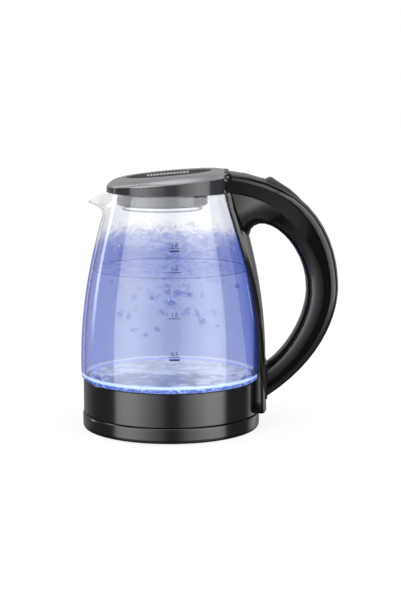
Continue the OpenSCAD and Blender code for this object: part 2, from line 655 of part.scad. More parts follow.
// ---- Handle: release button, latch, steam tube --------------------------------------------
button_x0 = yoke_x + 33.9;
button_x1 = yoke_x + 65;
pivot_x = button_x1 - 3.6;
pivot_z = top_z(pivot_x) - 4.8;
pivot_r = 1.2;
latch_x = yoke_x + 18;
latch_z = yoke_top - 11.6;
tube_y = 9;
function top_z(x, lo = 0, hi = 1, n = 20) = let(m = (lo + hi) / 2)
    n == 0 ? along(outer_curve, m)[1]
           : along(outer_curve, m)[0] < x ? top_z(x, m, hi, n - 1) : top_z(x, lo, m, n - 1);
button_pocket = [[button_x0 - 1.4, yoke_top], [button_x0 - 1.4, top_z(button_x0) - 8.4],
    [button_x0 + 8, top_z(button_x0 + 8) - 9.4], [pivot_x - 5, top_z(pivot_x - 5) - 8.4],
    [pivot_x + 3.4, pivot_z - 2.6], [pivot_x + 3.4, yoke_top]];
module pivot_ear() {
    translate([pivot_x, 0, pivot_z]) rotate([90, 0, 0]) linear_extrude(1.8, center = true) {
        circle(r = 2.4);
        translate([-2.4, -4]) square([4.8, 4]);
    }
}
module release_button() {
    color([0.30, 0.30, 0.32]) {
        difference() {
            rotate([90, 0, 0]) linear_extrude(button_w, center = true) polygon([
                [button_x0, top_z(button_x0) - 0.4], [button_x0 + 2.4, top_z(button_x0 + 2.4) + 1.6],
                [button_x0 + 5, top_z(button_x0 + 5) + 3.6], [button_x0 + 6.6, top_z(button_x0 + 6.6) + 3.7],
                [button_x0 + 11, top_z(button_x0 + 11) + 2.6], [button_x0 + 21.6, top_z(button_x0 + 21.6) + 1.6],
                [button_x1 - 1.5, top_z(button_x1 - 1.5) + 0.2], [button_x1 - 0.6, top_z(button_x1 - 0.6) - 0.6],
                [pivot_x + 1.9, pivot_z - 1.5], [pivot_x - 1.9, pivot_z - 1.5],
                [button_x0 + 1, top_z(button_x0 + 1) - 5]]);
            translate([button_x0 + 6, -button_w / 2 + 2, top_z(button_x1)])
                cube([pivot_x - button_x0 - 10, button_w - 4, top_z(button_x0 + 14) - top_z(button_x1) - 3.6]);
        }
        translate([pivot_x, 0, pivot_z]) rotate([90, 0, 0])
            cylinder(r = pivot_r, h = button_w + 2 * 2.2, center = true);
    }
}

latch_pin_l = 11.8;
latch_rear = button_x0 + 5;
latch_tip_z = hinge_z - 7.6;
latch_line = [[hinge_x - 0.6, latch_tip_z], [hinge_x + 2, latch_tip_z], [hinge_x + 2, latch_tip_z + 1.4],
    [latch_x, latch_z - 1.6], [latch_rear, top_z(latch_rear) - 8.4],
    [latch_rear, top_z(latch_rear) - 6.2], [latch_x, latch_z + 1.6], [hinge_x - 0.6, hinge_z - 4.6]];
latch_pocket = [[yoke_x - 2, hinge_z - 12.4], [hinge_x + 4, hinge_z - 12.4], [hinge_x + 6, hinge_z - 8.6],
    [latch_x - 4, latch_z - 2.6], [latch_x, latch_z - 3], [latch_rear - 6, top_z(latch_rear) - 14],
    [latch_rear + 1, top_z(latch_rear) - 14], [latch_rear + 1, yoke_top], [latch_x, latch_z + 3.2],
    [hinge_x + 4, hinge_z - 3], [yoke_x - 2, hinge_z - 3]];
module lid_latch() {
    color([0.62, 0.63, 0.66])
    difference() {
        rotate([90, 0, 0]) linear_extrude(8.4, center = true) polygon(latch_line);
        translate([latch_x, 0, latch_z]) rotate([90, 0, 0])
            cylinder(r = pivot_r + running_fit, h = 20, center = true);
    }
}
module latch_spring() {
    color([0.70, 0.71, 0.73])
    translate([latch_rear - 3, 0, top_z(latch_rear) - 13.7])
        wire(helix(1.9, 4, 5.2), 0.4);
}
module latch_pin() {
    color([0.70, 0.71, 0.73])
    translate([latch_x, 0, latch_z]) rotate([90, 0, 0]) cylinder(r = pivot_r, h = latch_pin_l, center = true);
}

tube_r_out = 2.5;
tube_steps = 22;
function tube_mid(s) = (along(rib_curve, s) + along(lobe_curve, s)) / 2;
tube_line = concat([[yoke_x + 0.6, yoke_floor + 5]], [for (i = [1:tube_steps]) tube_mid(1.97 * i / tube_steps)]);
tube_slot = let(n = len(tube_line), norms = [for (i = [0:n - 1])
        let(t = unit(tube_line[min(i + 1, n - 1)] - tube_line[max(i - 1, 0)])) [-t[1], t[0]]])
    concat([[yoke_x - 2, yoke_floor + 5 + 2.9]], [for (i = [1:n - 1]) tube_line[i] + norms[i] * slot_half(i)],
           [for (i = [n - 1:-1:1]) tube_line[i] - norms[i] * slot_half(i)], [[yoke_x - 2, yoke_floor + 5 - 2.9]]);
function slot_half(i) = i < 8 ? 2.9 : 5.5;
module steam_tube() {
    color([0.85, 0.86, 0.88, 0.9])
    translate([0, tube_y, 0])
    wire_tube([for (p = tube_line) [p[0], 0, p[1]]], tube_r_out, tube_r_out - 0.7);
}
module wire_tube(path, r_out, r_in, sides = 10) {
    m = len(path);
    rings = [for (i = [0:m - 1])
        let(t = unit(path[min(i + 1, m - 1)] - path[max(i - 1, 0)]), side = [0, 1, 0], up = cross(side, t))
        [for (r = [r_out, r_in], k = [0:sides - 1])
            path[i] + r * (cos(360 * k / sides) * side + sin(360 * k / sides) * up)]];
    points = [for (ring = rings) each ring];
    n = 2 * sides;
    outer_walls = [for (i = [0:m - 2], k = [0:sides - 1])
        let(a = i * n + k, b = i * n + (k + 1) % sides, c = b + n, d = a + n) each [[a, b, c], [a, c, d]]];
    inner_walls = [for (i = [0:m - 2], k = [0:sides - 1])
        let(a = i * n + sides + k, b = i * n + sides + (k + 1) % sides, c = b + n, d = a + n)
        each [[a, c, b], [a, d, c]]];
    ends = [for (i = [0, m - 1], k = [0:sides - 1])
        let(a = i * n + k, b = i * n + (k + 1) % sides, c = b + sides, d = a + sides)
        each i == 0 ? [[a, c, b], [a, d, c]] : [[a, b, c], [a, c, d]]];
    polyhedron(points = points, faces = concat(outer_walls, inner_walls, ends), convexity = 8);
}

module hinge_pin() {
    color([0.75, 0.76, 0.78])
    translate([hinge_x, 0, hinge_z]) rotate([90, 0, 0]) cylinder(r = pin_hinge_r, h = yoke_w - 3, center = true);
}
module hinge_spring() {
    color([0.70, 0.71, 0.73])
    translate([hinge_x, -13.6, hinge_z]) rotate([-90, 0, 0])
        wire(helix(pin_hinge_r + 0.75, 5, 4.4), 0.42);
}

// ---- Lid --------------------------------------------------------------------------------
// The slanting plane between the side band of the lid and its dome
module tilted() {
    translate([-lid_r, 0, lid_z + lid_band_h]) rotate([0, -lid_tilt, 0]) translate([lid_r, 0, 0]) children();
}
function dome(r, drop = 0) = (lid_dome_h - drop) * pow(1 - pow(min(r / lid_r, 1), 4.2), 1 / 1.6);
function dome_line(r, drop = 0) = [for (i = [0:10]) let(q = r * sin(9 * i)) [q, dome(q, drop)]];
module lid_blank() {
    difference() {
        cylinder(r = lid_r, h = far, $fn = 128);
        translate([lid_cut, -far, -1]) cube([far, 2 * far, 2 * far]);
    }
}
module lid_barrel() {
    translate([hinge_x, 0, hinge_z]) rotate([90, 0, 0]) {
        difference() {
            linear_extrude(yoke_w - 2, center = true) {
                circle(r = barrel_r);
                translate([-barrel_r - 3.6, -barrel_r]) square([barrel_r + 3.6, 2 * barrel_r]);
            }
            cylinder(r = pin_hinge_r + running_fit, h = yoke_w + 2, center = true);
            for (side = [-1, 1]) translate([-4.3, -8, side * (hinge_ear[0] + hinge_ear[1]) / 2
                    - (hinge_ear[1] - hinge_ear[0]) / 2 - gap])
                cube([12, 16, hinge_ear[1] - hinge_ear[0] + 2 * gap]);
            translate([-3, -8, 8.4]) cube([12, 16, 6]);
        }
    }
}
module lid_frame() {
    color([0.62, 0.63, 0.65]) {
        intersection() {
            tilted() rotate_extrude($fn = 128) difference() {
                polygon(concat([[0, 0.02]], [for (p = dome_line(lid_r)) [p[0], max(p[1], 0.02)]]));
                polygon(concat([[0, -1]], [for (p = dome_line(lid_r - 0.2)) [max(p[0] - lid_wall, 0), p[1] - lid_wall]],
                               [[lid_r - lid_wall, -1]]));
            }
            difference() {
                lid_blank();
                oval(0.15);
            }
        }
        lid_barrel();
    }
}
panel_x = -1.5;
module oval(grow) {
    translate([panel_x, 0, 0]) linear_extrude(far)
        polygon([for (i = [0:59]) [(inlay_l / 2 + grow) * cos(6 * i), (inlay_w / 2 + grow) * sin(6 * i)]]);
}
module lid_panel() {
    color([0.13, 0.13, 0.14])
    intersection() {
        tilted() rotate_extrude($fn = 96) polygon(concat(
            [for (p = dome_line(lid_r)) [p[0], p[1] - 1.5]], [for (i = [10:-1:0]) let(p = dome_line(lid_r)[i]) [p[0], p[1] - 3.5]]));
        difference() {
            oval(0);
            translate([lid_cut - 1, -far, 0]) cube([far, 2 * far, far]);
        }
    }
}
module lid_trim() {
    color([0.82, 0.83, 0.85])
    intersection() {
        tilted() rotate_extrude($fn = 96) polygon(concat(
            [for (p = dome_line(lid_r)) [p[0], p[1] - 0.5]], [for (i = [10:-1:0]) let(p = dome_line(lid_r)[i]) [p[0], p[1] - 1.5]]));
        union() {
            for (i = [0:trim_ribs - 1]) translate([panel_x + 2.8 * (i - (trim_ribs - 1) / 2), -16, 0])
                translate([-0.9, 0, 0]) cube([1.8, 8, far]);
            translate([panel_x - 1.4 * trim_ribs, -13, 0]) cube([2.8 * trim_ribs, 1.6, far]);
        }
    }
}
module lid_band() {
    color([0.16, 0.16, 0.17])
    difference() {
        intersection() {
            lid_blank();
            tilted() translate([-far, -far, -far]) cube([2 * far, 2 * far, far]);
            translate([-far, -far, lid_z]) cube([2 * far, 2 * far, far]);
        }
        difference() {
            translate([0, 0, lid_z + lid_wall]) cylinder(r = lid_r - lid_wall, h = far, $fn = 128);
            translate([lid_cut - lid_wall, -far, 0]) cube([far, 2 * far, far]);
        }
        lid_rear_relief();
    }
}
// The bent steel strip behind the lid that the latch hooks over
module lid_catch() {
    color([0.75, 0.76, 0.78])
    rotate([90, 0, 0]) linear_extrude(catch_w, center = true) polygon([
        [lid_cut, latch_tip_z - 4.4], [lid_cut + 0.8, latch_tip_z - 4.4], [lid_cut + 0.8, latch_tip_z - 3],
        [hinge_x + 3, latch_tip_z - 3], [hinge_x + 3, latch_tip_z - 0.6],
        [hinge_x + 2.2, latch_tip_z - 0.6], [hinge_x + 2.2, latch_tip_z - 2.2],
        [lid_cut, latch_tip_z - 2.2]]);
}
catch_w = 8;
// Room at the top of the rear wall of the band for the blocks of the hinge barrel
module lid_rear_relief() {
    translate([hinge_x - barrel_r - 3.8, -yoke_w / 2 + 0.8, hinge_z - barrel_r - 0.1])
        cube([12, yoke_w - 1.6, far]);
}
module lid_plug() {
    color([0.72, 0.73, 0.75])
    translate([-plug_shift, 0, 0]) rotate_extrude($fn = 128) polygon([
        [0, lid_z - plug_h], [plug_r - 1.2, lid_z - plug_h], [plug_r, lid_z - plug_h + 1.2],
        [plug_r, lid_z], [plug_r - 1.6, lid_z], [plug_r - 1.6, lid_z - plug_h + 1.6], [0, lid_z - plug_h + 1.6]]);
}
plug_r = plug_d / 2;
module steam_baffle() {
    color([0.90, 0.92, 0.95, 0.5])
    translate([-plug_shift, 0, 0]) rotate_extrude($fn = 128) polygon([
        [plug_r - 5.8, lid_z - plug_h - baffle_h], [plug_r - 4.6, lid_z - plug_h - baffle_h],
        [plug_r - 3.6, lid_z - plug_h - baffle_h + 1.2], [plug_r - 3.6, lid_z - plug_h],
        [plug_r - 5.8, lid_z - plug_h]]);
}

base_cover();
base_plate();
foot_ring();
base_connector();
connector_contacts();
base_screws();
cord_bushing();
swivel_ring();
glass_jug();
base_collar();
bottom_cover();
light_ring();
led_board();
led_lamps();
heating_plate();
plate_seal();
clamp_ring();
heat_spreader();
heating_element();
controller();
controller_contacts();
bottom_screws();
handle_strap();
handle_inner();
handle_core();
handle_outer();
steam_tube();
switch_frame();
handle_screws();
hinge_pin();
hinge_spring();
release_button();
latch_pin();
lid_latch();
latch_spring();
power_switch();
lid_band();
lid_frame();
lid_panel();
lid_trim();
lid_catch();
lid_plug();
steam_baffle();
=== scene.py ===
"""The looks of a cordless glass kettle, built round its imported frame.

The frame holds every solid piece at its real size. This script gives the solids their finishes,
makes the smooth glass, the boiling water, the level marks and the lid's fine trim, and sets up
the studio and the camera. Lengths are metres; sizes written in millimetres are times MM.
"""

import logging
import math
import random
from dataclasses import dataclass, field
from enum import Enum
from typing import Callable, Optional, Sequence

import bmesh
import bpy
from mathutils import Matrix, Vector, noise


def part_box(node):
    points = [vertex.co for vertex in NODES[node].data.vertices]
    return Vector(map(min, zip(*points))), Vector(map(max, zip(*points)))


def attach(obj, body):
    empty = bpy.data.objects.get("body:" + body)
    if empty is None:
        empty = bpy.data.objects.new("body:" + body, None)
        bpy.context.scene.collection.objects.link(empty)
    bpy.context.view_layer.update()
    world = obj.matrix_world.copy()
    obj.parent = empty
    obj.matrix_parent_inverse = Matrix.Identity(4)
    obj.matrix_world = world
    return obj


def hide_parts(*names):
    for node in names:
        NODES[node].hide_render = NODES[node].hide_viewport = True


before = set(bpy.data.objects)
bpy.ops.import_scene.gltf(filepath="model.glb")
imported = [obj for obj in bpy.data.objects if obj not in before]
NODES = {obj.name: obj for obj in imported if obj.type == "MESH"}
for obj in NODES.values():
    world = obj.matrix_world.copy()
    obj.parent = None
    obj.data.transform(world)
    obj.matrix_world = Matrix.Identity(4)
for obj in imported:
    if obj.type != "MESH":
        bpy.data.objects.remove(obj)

logging.basicConfig(level=logging.INFO, format="%(name)s: %(message)s")
log = logging.getLogger("kettle")

MM = 0.001
RELIEF_DEPTH = 0.1 * MM
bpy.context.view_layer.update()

Colour = tuple[float, float, float]
Line = list[tuple[float, float]]


class Body(str, Enum):
    """The rigid bodies of the frame that new pieces ride on."""

    KETTLE = "kettle"
    LID = "lid"


class Grain(Enum):
    """How a surface's fine relief runs."""

    MOULDED = "moulded"
    TURNED = "turned"


# ---- Shader node helpers -----------------------------------------------------------------


class Tree:
    """A short way to add and join the nodes of one shader tree."""

    def __init__(self, tree: bpy.types.NodeTree) -> None:
        """Keep the tree.

        Args:
            tree: the node tree to fill.
        """
        self.tree = tree

    def add(self, kind: str, settings: Optional[dict] = None, **sockets: object) -> bpy.types.Node:
        """Add a node.

        Args:
            kind: Blender's type name of the node, without the ShaderNode prefix.
            settings: properties of the node.
            sockets: default values or joined outputs of its inputs, by name with _ for a blank.

        Returns:
            The new node.
        """
        node = self.tree.nodes.new("ShaderNode" + kind)
        for key, value in (settings or {}).items():
            setattr(node, key, value)
        for key, value in sockets.items():
            self.put(node.inputs[key.replace("_", " ")], value)
        return node

    def put(self, socket: bpy.types.NodeSocket, value: object) -> None:
        """Set an input's value, or join an output to it.

        Args:
            socket: the input.
            value: a number, a colour, a vector or another node's output.
        """
        if isinstance(value, bpy.types.NodeSocket):
            self.tree.links.new(value, socket)
        else:
            socket.default_value = value

    def math(self, operation: str, *values: object, clamp: bool = False) -> bpy.types.NodeSocket:
        """Add a Math node and give its output."""
        node = self.add("Math", {"operation": operation, "use_clamp": clamp})
        for socket, value in zip(node.inputs, values):
            self.put(socket, value)
        return node.outputs[0]

    def ramp(self, value: object, low: float, high: float, to_low: float = 0, to_high: float = 1,
             smooth: bool = True) -> bpy.types.NodeSocket:
        """Map a value from one range to another, clamped, and give the output."""
        kind = "SMOOTHSTEP" if smooth else "LINEAR"
        node = self.add("MapRange", {"interpolation_type": kind, "clamp": True}, Value=value)
        spans = {"From Min": low, "From Max": high, "To Min": to_low, "To Max": to_high}
        for name, number in spans.items():
            node.inputs[name].default_value = number
        return node.outputs["Result"]

    def product(self, *values: object) -> bpy.types.NodeSocket:
        """Multiply two or more numbers and give the output."""
        result = values[0]
        for value in values[1:]:
            result = self.math("MULTIPLY", result, value)
        return result

    def between(self, value: object, rise: tuple[float, float],
                fall: tuple[float, float]) -> bpy.types.NodeSocket:
        """1 between two soft ends: up over the first span of the value, down over the second."""
        return self.product(self.ramp(value, *rise), self.ramp(value, *fall, 1.0, 0.0))

    def stray(self, value: object, unrest: object, reach: float) -> bpy.types.NodeSocket:
        """Move a value up and down with a noise that lies round a half, and give the output."""
        return self.math("ADD", value, self.product(self.math("SUBTRACT", unrest, 0.5), reach))

    def mix(self, share: object, first: object, second: object) -> bpy.types.NodeSocket:
        """Mix two colours and give the output."""
        node = self.add("Mix", {"data_type": "RGBA"})
        for index, value in ((0, share), (6, first), (7, second)):
            self.put(node.inputs[index], value)
        return node.outputs[2]


def rgba(colour: Colour, alpha: float = 1.0) -> tuple[float, float, float, float]:
    """A colour with its alpha."""
    return (*colour, alpha)


def new_group(name: str, inputs: dict[str, float],
              outputs: Sequence[str]) -> tuple[Tree, dict, bpy.types.Node]:
    """Start a shader node group whose inputs and outputs are numbers.

    Args:
        name: the group's name.
        inputs: default value of each named input.
        outputs: names of the outputs.

    Returns:
        The tree, its input sockets by name, and the output node.
    """
    group = bpy.data.node_groups.new(name, "ShaderNodeTree")
    for key, value in inputs.items():
        socket = group.interface.new_socket(key, in_out="INPUT", socket_type="NodeSocketFloat")
        socket.default_value = value
    for key in outputs:
        group.interface.new_socket(key, in_out="OUTPUT", socket_type="NodeSocketFloat")
    source = group.nodes.new("NodeGroupInput")
    sink = group.nodes.new("NodeGroupOutput")
    return Tree(group), {key: source.outputs[key] for key in inputs}, sink


def object_axes(tree: Tree) -> tuple[bpy.types.NodeSocket, bpy.types.Node]:
    """The object coordinates of a point, whole and split into X, Y and Z."""
    place = tree.add("TexCoord").outputs["Object"]
    return place, tree.add("SeparateXYZ", Vector=place)


def distance_round(tree: Tree, axes: bpy.types.Node) -> tuple[bpy.types.NodeSocket, bpy.types.NodeSocket]:
    """A point's place across the vertical axis, and its distance from that axis."""
    flat = tree.add("CombineXYZ", X=axes.outputs["X"], Y=axes.outputs["Y"]).outputs[0]
    return flat, tree.add("VectorMath", {"operation": "LENGTH"}, Vector=flat).outputs["Value"]


def make_moulded_group() -> bpy.types.NodeTree:
    """Fine unevenness of a moulded gloss surface: a soft relief and a faint change of gloss."""
    tree, given, sink = new_group("moulded_grain", {"Scale": 900.0, "Wear": 0.3}, ("Relief", "Gloss"))
    place, _ = object_axes(tree)
    fine = tree.add("TexNoise", Vector=place, Scale=given["Scale"], Detail=2.0).outputs["Fac"]
    wide = tree.add("TexNoise", Vector=place, Scale=38.0, Detail=5.0, Roughness=0.6).outputs["Fac"]
    tree.put(sink.inputs["Relief"], fine)
    handled = tree.product(tree.ramp(wide, 0.45, 0.75), given["Wear"])
    tree.put(sink.inputs["Gloss"], tree.math("ADD", handled, tree.product(fine, 0.08)))
    return tree.tree


def make_turned_group() -> bpy.types.NodeTree:
    """Fine rings left by brushing or turning round the vertical axis."""
    tree, given, sink = new_group("turned_grain", {"Scale": 2600.0}, ("Relief", "Gloss"))
    place, axes = object_axes(tree)
    flat, radius = distance_round(tree, axes)
    level = tree.math("ADD", tree.product(axes.outputs["Z"], 1.7), radius)
    squeezed = tree.add("VectorMath", {"operation": "SCALE"}, Vector=flat, Scale=0.012).outputs[0]
    along = tree.add("SeparateXYZ", Vector=squeezed).outputs
    spread = tree.add("CombineXYZ", X=along["X"], Y=along["Y"], Z=level).outputs[0]
    lines = tree.add("TexNoise", Vector=spread, Scale=given["Scale"], Detail=3.0,
                     Roughness=0.7).outputs["Fac"]
    wide = tree.add("TexNoise", Vector=place, Scale=60.0, Detail=3.0).outputs["Fac"]
    tree.put(sink.inputs["Relief"], lines)
    gloss = tree.math("ADD", tree.product(lines, 0.6), tree.product(wide, 0.4))
    tree.put(sink.inputs["Gloss"], gloss)
    return tree.tree


def make_band_group() -> bpy.types.NodeTree:
    """A level band, full between two heights with soft ends, broken up by fine sparkle."""
    tree, given, sink = new_group(
        "level_band", {"Low": 0.0, "High": 1.0, "Soft": 0.002, "Sparkle": 0.5, "Scale": 400.0},
        ("Mask", "Sparkle"))
    place, axes = object_axes(tree)
    height = axes.outputs["Z"]
    rise = tree.math("DIVIDE", tree.math("SUBTRACT", height, given["Low"]), given["Soft"], clamp=True)
    fall = tree.math("DIVIDE", tree.math("SUBTRACT", given["High"], height), given["Soft"], clamp=True)
    spots = tree.add("TexNoise", Vector=place, Scale=given["Scale"], Detail=3.0,
                     Roughness=0.7).outputs["Fac"]
    sparkle = tree.ramp(spots, 0.48, 0.64)
    dimmed = tree.math("SUBTRACT", 1.0, tree.product(sparkle, given["Sparkle"]))
    tree.put(sink.inputs["Mask"], tree.product(tree.product(rise, fall), dimmed))
    tree.put(sink.inputs["Sparkle"], sparkle)
    return tree.tree


def make_froth_group() -> bpy.types.NodeTree:
    """Patches of froth: a mask of where it lies; the same noise also dapples painted light on the plate,
    breaks up painted shade on the bubble rims and gives the glows their sparkle.
    """
    tree, given, sink = new_group("froth", {"Patch": 40.0}, ("Mask",))
    place, _ = object_axes(tree)
    patch = tree.add("TexNoise", Vector=place, Scale=given["Patch"], Detail=6.0, Roughness=0.65,
                     Distortion=0.6).outputs["Fac"]
    tree.put(sink.inputs["Mask"], patch)
    return tree.tree


class Groups:
    """The shared effect groups, each built once when it is first asked for."""

    makers: dict[str, Callable[[], bpy.types.NodeTree]] = {
        "moulded": make_moulded_group,
        "turned": make_turned_group,
        "band": make_band_group,
        "froth": make_froth_group,
    }
    made: dict[str, bpy.types.NodeTree] = {}

    @classmethod
    def place(cls, tree: Tree, name: str, **values: object) -> bpy.types.Node:
        """Put a group into a material.

        Args:
            tree: the material's tree.
            name: one of the makers' names.
            values: the group's inputs.

        Returns:
            The group node.
        """
        if name not in cls.made:
            cls.made[name] = cls.makers[name]()
        node = tree.tree.nodes.new("ShaderNodeGroup")
        node.node_tree = cls.made[name]
        for key, value in values.items():
            tree.put(node.inputs[key], value)
        return node


def start_material(name: str, values: dict[str, object]) -> tuple[bpy.types.Material, Tree, bpy.types.Node]:
    """A new material with an empty tree and a Principled shader on its output.

    Args:
        name: the material's name.
        values: fixed values of the shader's inputs, by the inputs' names.

    Returns:
        The material, its tree and its shader.
    """
    material = bpy.data.materials.new(name)
    material.use_nodes = True
    material.node_tree.nodes.clear()
    tree = Tree(material.node_tree)
    shader = tree.add("BsdfPrincipled")
    for key, value in values.items():
        shader.inputs[key].default_value = value
    tree.put(tree.add("OutputMaterial").inputs["Surface"], shader.outputs[0])
    return material, tree, shader


# ---- Finishes ----------------------------------------------------------------------------


@dataclass(frozen=True)
class Solid:
    """An opaque finish: plastic, rubber or metal."""

    name: str
    colour: Colour
    roughness: float
    metallic: float = 0.0
    specular: float = 0.5
    grain: Grain = Grain.MOULDED
    grain_scale: float = 900.0
    relief: float = 0.02
    gloss_change: float = 0.06
    shade_change: float = 0.15

    def build(self) -> bpy.types.Material:
        """Make the material.

        Returns:
            The finished material.
        """
        material, tree, shader = start_material(
            self.name, {"Metallic": self.metallic, "Specular IOR Level": self.specular})
        grain = Groups.place(tree, self.grain.value, Scale=self.grain_scale)
        gloss = grain.outputs["Gloss"]
        smoothest = max(self.roughness - self.gloss_change / 2, 0.01)
        roughest = self.roughness + self.gloss_change / 2
        tree.put(shader.inputs["Roughness"], tree.ramp(gloss, 0.1, 0.8, smoothest, roughest, smooth=False))
        darker = tuple(c * (1 - self.shade_change) for c in self.colour)
        tree.put(shader.inputs["Base Color"], tree.mix(gloss, rgba(self.colour), rgba(darker)))
        bump = tree.add("Bump", Height=grain.outputs["Relief"], Strength=self.relief, Distance=RELIEF_DEPTH)
        tree.put(shader.inputs["Normal"], bump.outputs[0])
        return material


@dataclass(frozen=True)
class ClearGlass:
    """Clear glass with a lit foot: light from the lamps glows in its thick lower edge."""

    name: str
    tint: Colour
    white_glow: Colour
    blue_glow: Colour
    edge_shade_blue: Colour
    edge_shade_grey: Colour
    glow_low: float
    glow_middle: float
    glow_high: float
    water_top: float
    ior: float = 1.02
    coat_ior: float = 1.8
    wet_soft: float = 8 * MM
    # Where the wall's edge takes its painted shade (dry and wet) or loses its coat (dull), from a square view
    # at 0 to a grazing one at 1
    dry_edge: tuple[float, float] = (0.78, 0.98)
    wet_edge: tuple[float, float] = (0.6, 0.84)
    dull_edge: tuple[float, float] = (0.66, 0.86)
    # Painted shade behind the lower lit band: its near-black blue, and how fully it covers the glass there
    glow_backing_shade: Colour = (0.01, 0.015, 0.06)
    under_share: float = 0.9

    def outside(self, tree: Tree) -> bpy.types.NodeSocket:
        """1 where the outer face of the wall is seen from outside, 0 everywhere else."""
        place = tree.add("TexCoord")
        flat = tree.add("VectorMath", {"operation": "MULTIPLY"}, Vector=place.outputs["Object"])
        flat.inputs[1].default_value = (1, 1, 0)
        towards = tree.add("VectorMath", {"operation": "DOT_PRODUCT"})
        tree.put(towards.inputs[0], flat.outputs[0])
        tree.put(towards.inputs[1], place.outputs["Normal"])
        front = tree.math("SUBTRACT", 1.0, tree.add("NewGeometry").outputs["Backfacing"])
        return tree.product(tree.math("GREATER_THAN", towards.outputs["Value"], 0.0), front)

    def build(self) -> bpy.types.Material:
        """Make the material.

        Returns:
            The finished material.
        """
        material, tree, shader = start_material(self.name, {
            "Transmission Weight": 1.0, "IOR": self.ior, "Roughness": 0.0, "Coat Weight": 1.0,
            "Coat IOR": self.coat_ior, "Coat Roughness": 0.0, "Emission Strength": 1.0})
        seen = self.outside(tree)
        upper = Groups.place(tree, "band", Low=self.glow_middle, High=self.glow_high, Soft=1.0 * MM,
                             Sparkle=0.12, Scale=420.0)
        lower = Groups.place(tree, "band", Low=self.glow_low, High=self.glow_middle + 0.6 * MM, Soft=0.5 * MM,
                             Sparkle=0.0, Scale=330.0)
        glow_sparkle = tree.mix(lower.outputs["Sparkle"], rgba(self.blue_glow), rgba(self.white_glow))
        lit_low = tree.product(lower.outputs["Mask"], seen)
        lit_high = tree.product(upper.outputs["Mask"], seen)
        light = tree.mix(lit_low, rgba((0, 0, 0)), glow_sparkle)
        light = tree.mix(lit_high, light, rgba(self.white_glow))
        tree.put(shader.inputs["Emission Color"], light)
        _, axes = object_axes(tree)
        facing = tree.add("LayerWeight", Blend=0.5).outputs["Facing"]
        wet = tree.ramp(axes.outputs["Z"], self.water_top - self.wet_soft, self.water_top + self.wet_soft,
                        1.0, 0.0)
        # Painted shade: the wall turns grey where the view grazes it above the water, and blue below the
        # water
        dry = tree.mix(tree.ramp(facing, *self.dry_edge), rgba(self.tint), rgba(self.edge_shade_grey))
        deep = tree.mix(tree.ramp(facing, *self.wet_edge), rgba(self.tint), rgba(self.edge_shade_blue))
        dulled = tree.product(wet, tree.ramp(facing, *self.dull_edge))
        tree.put(shader.inputs["Coat Weight"], tree.math("SUBTRACT", 1.0, dulled))
        # Painted shade: the glass under the lower lit band turns near-black blue, so the painted glow shows
        # against it
        under = tree.product(lit_low, self.under_share)
        tree.put(shader.inputs["Base Color"],
                 tree.mix(under, tree.mix(wet, dry, deep), rgba(self.glow_backing_shade)))
        return material


@dataclass(frozen=True)
class ClearPlastic:
    """Colourless moulded plastic."""

    name: str
    tint: Colour
    roughness: float = 0.05

    def build(self) -> bpy.types.Material:
        """Make the material.

        Returns:
            The finished material.
        """
        material, tree, shader = start_material(
            self.name, {"Base Color": rgba(self.tint), "Transmission Weight": 1.0, "IOR": 1.45})
        grain = Groups.place(tree, "moulded", Scale=500.0)
        tree.put(shader.inputs["Roughness"],
                 tree.ramp(grain.outputs["Gloss"], 0.0, 1.0, self.roughness * 0.6, self.roughness * 1.6))
        return material


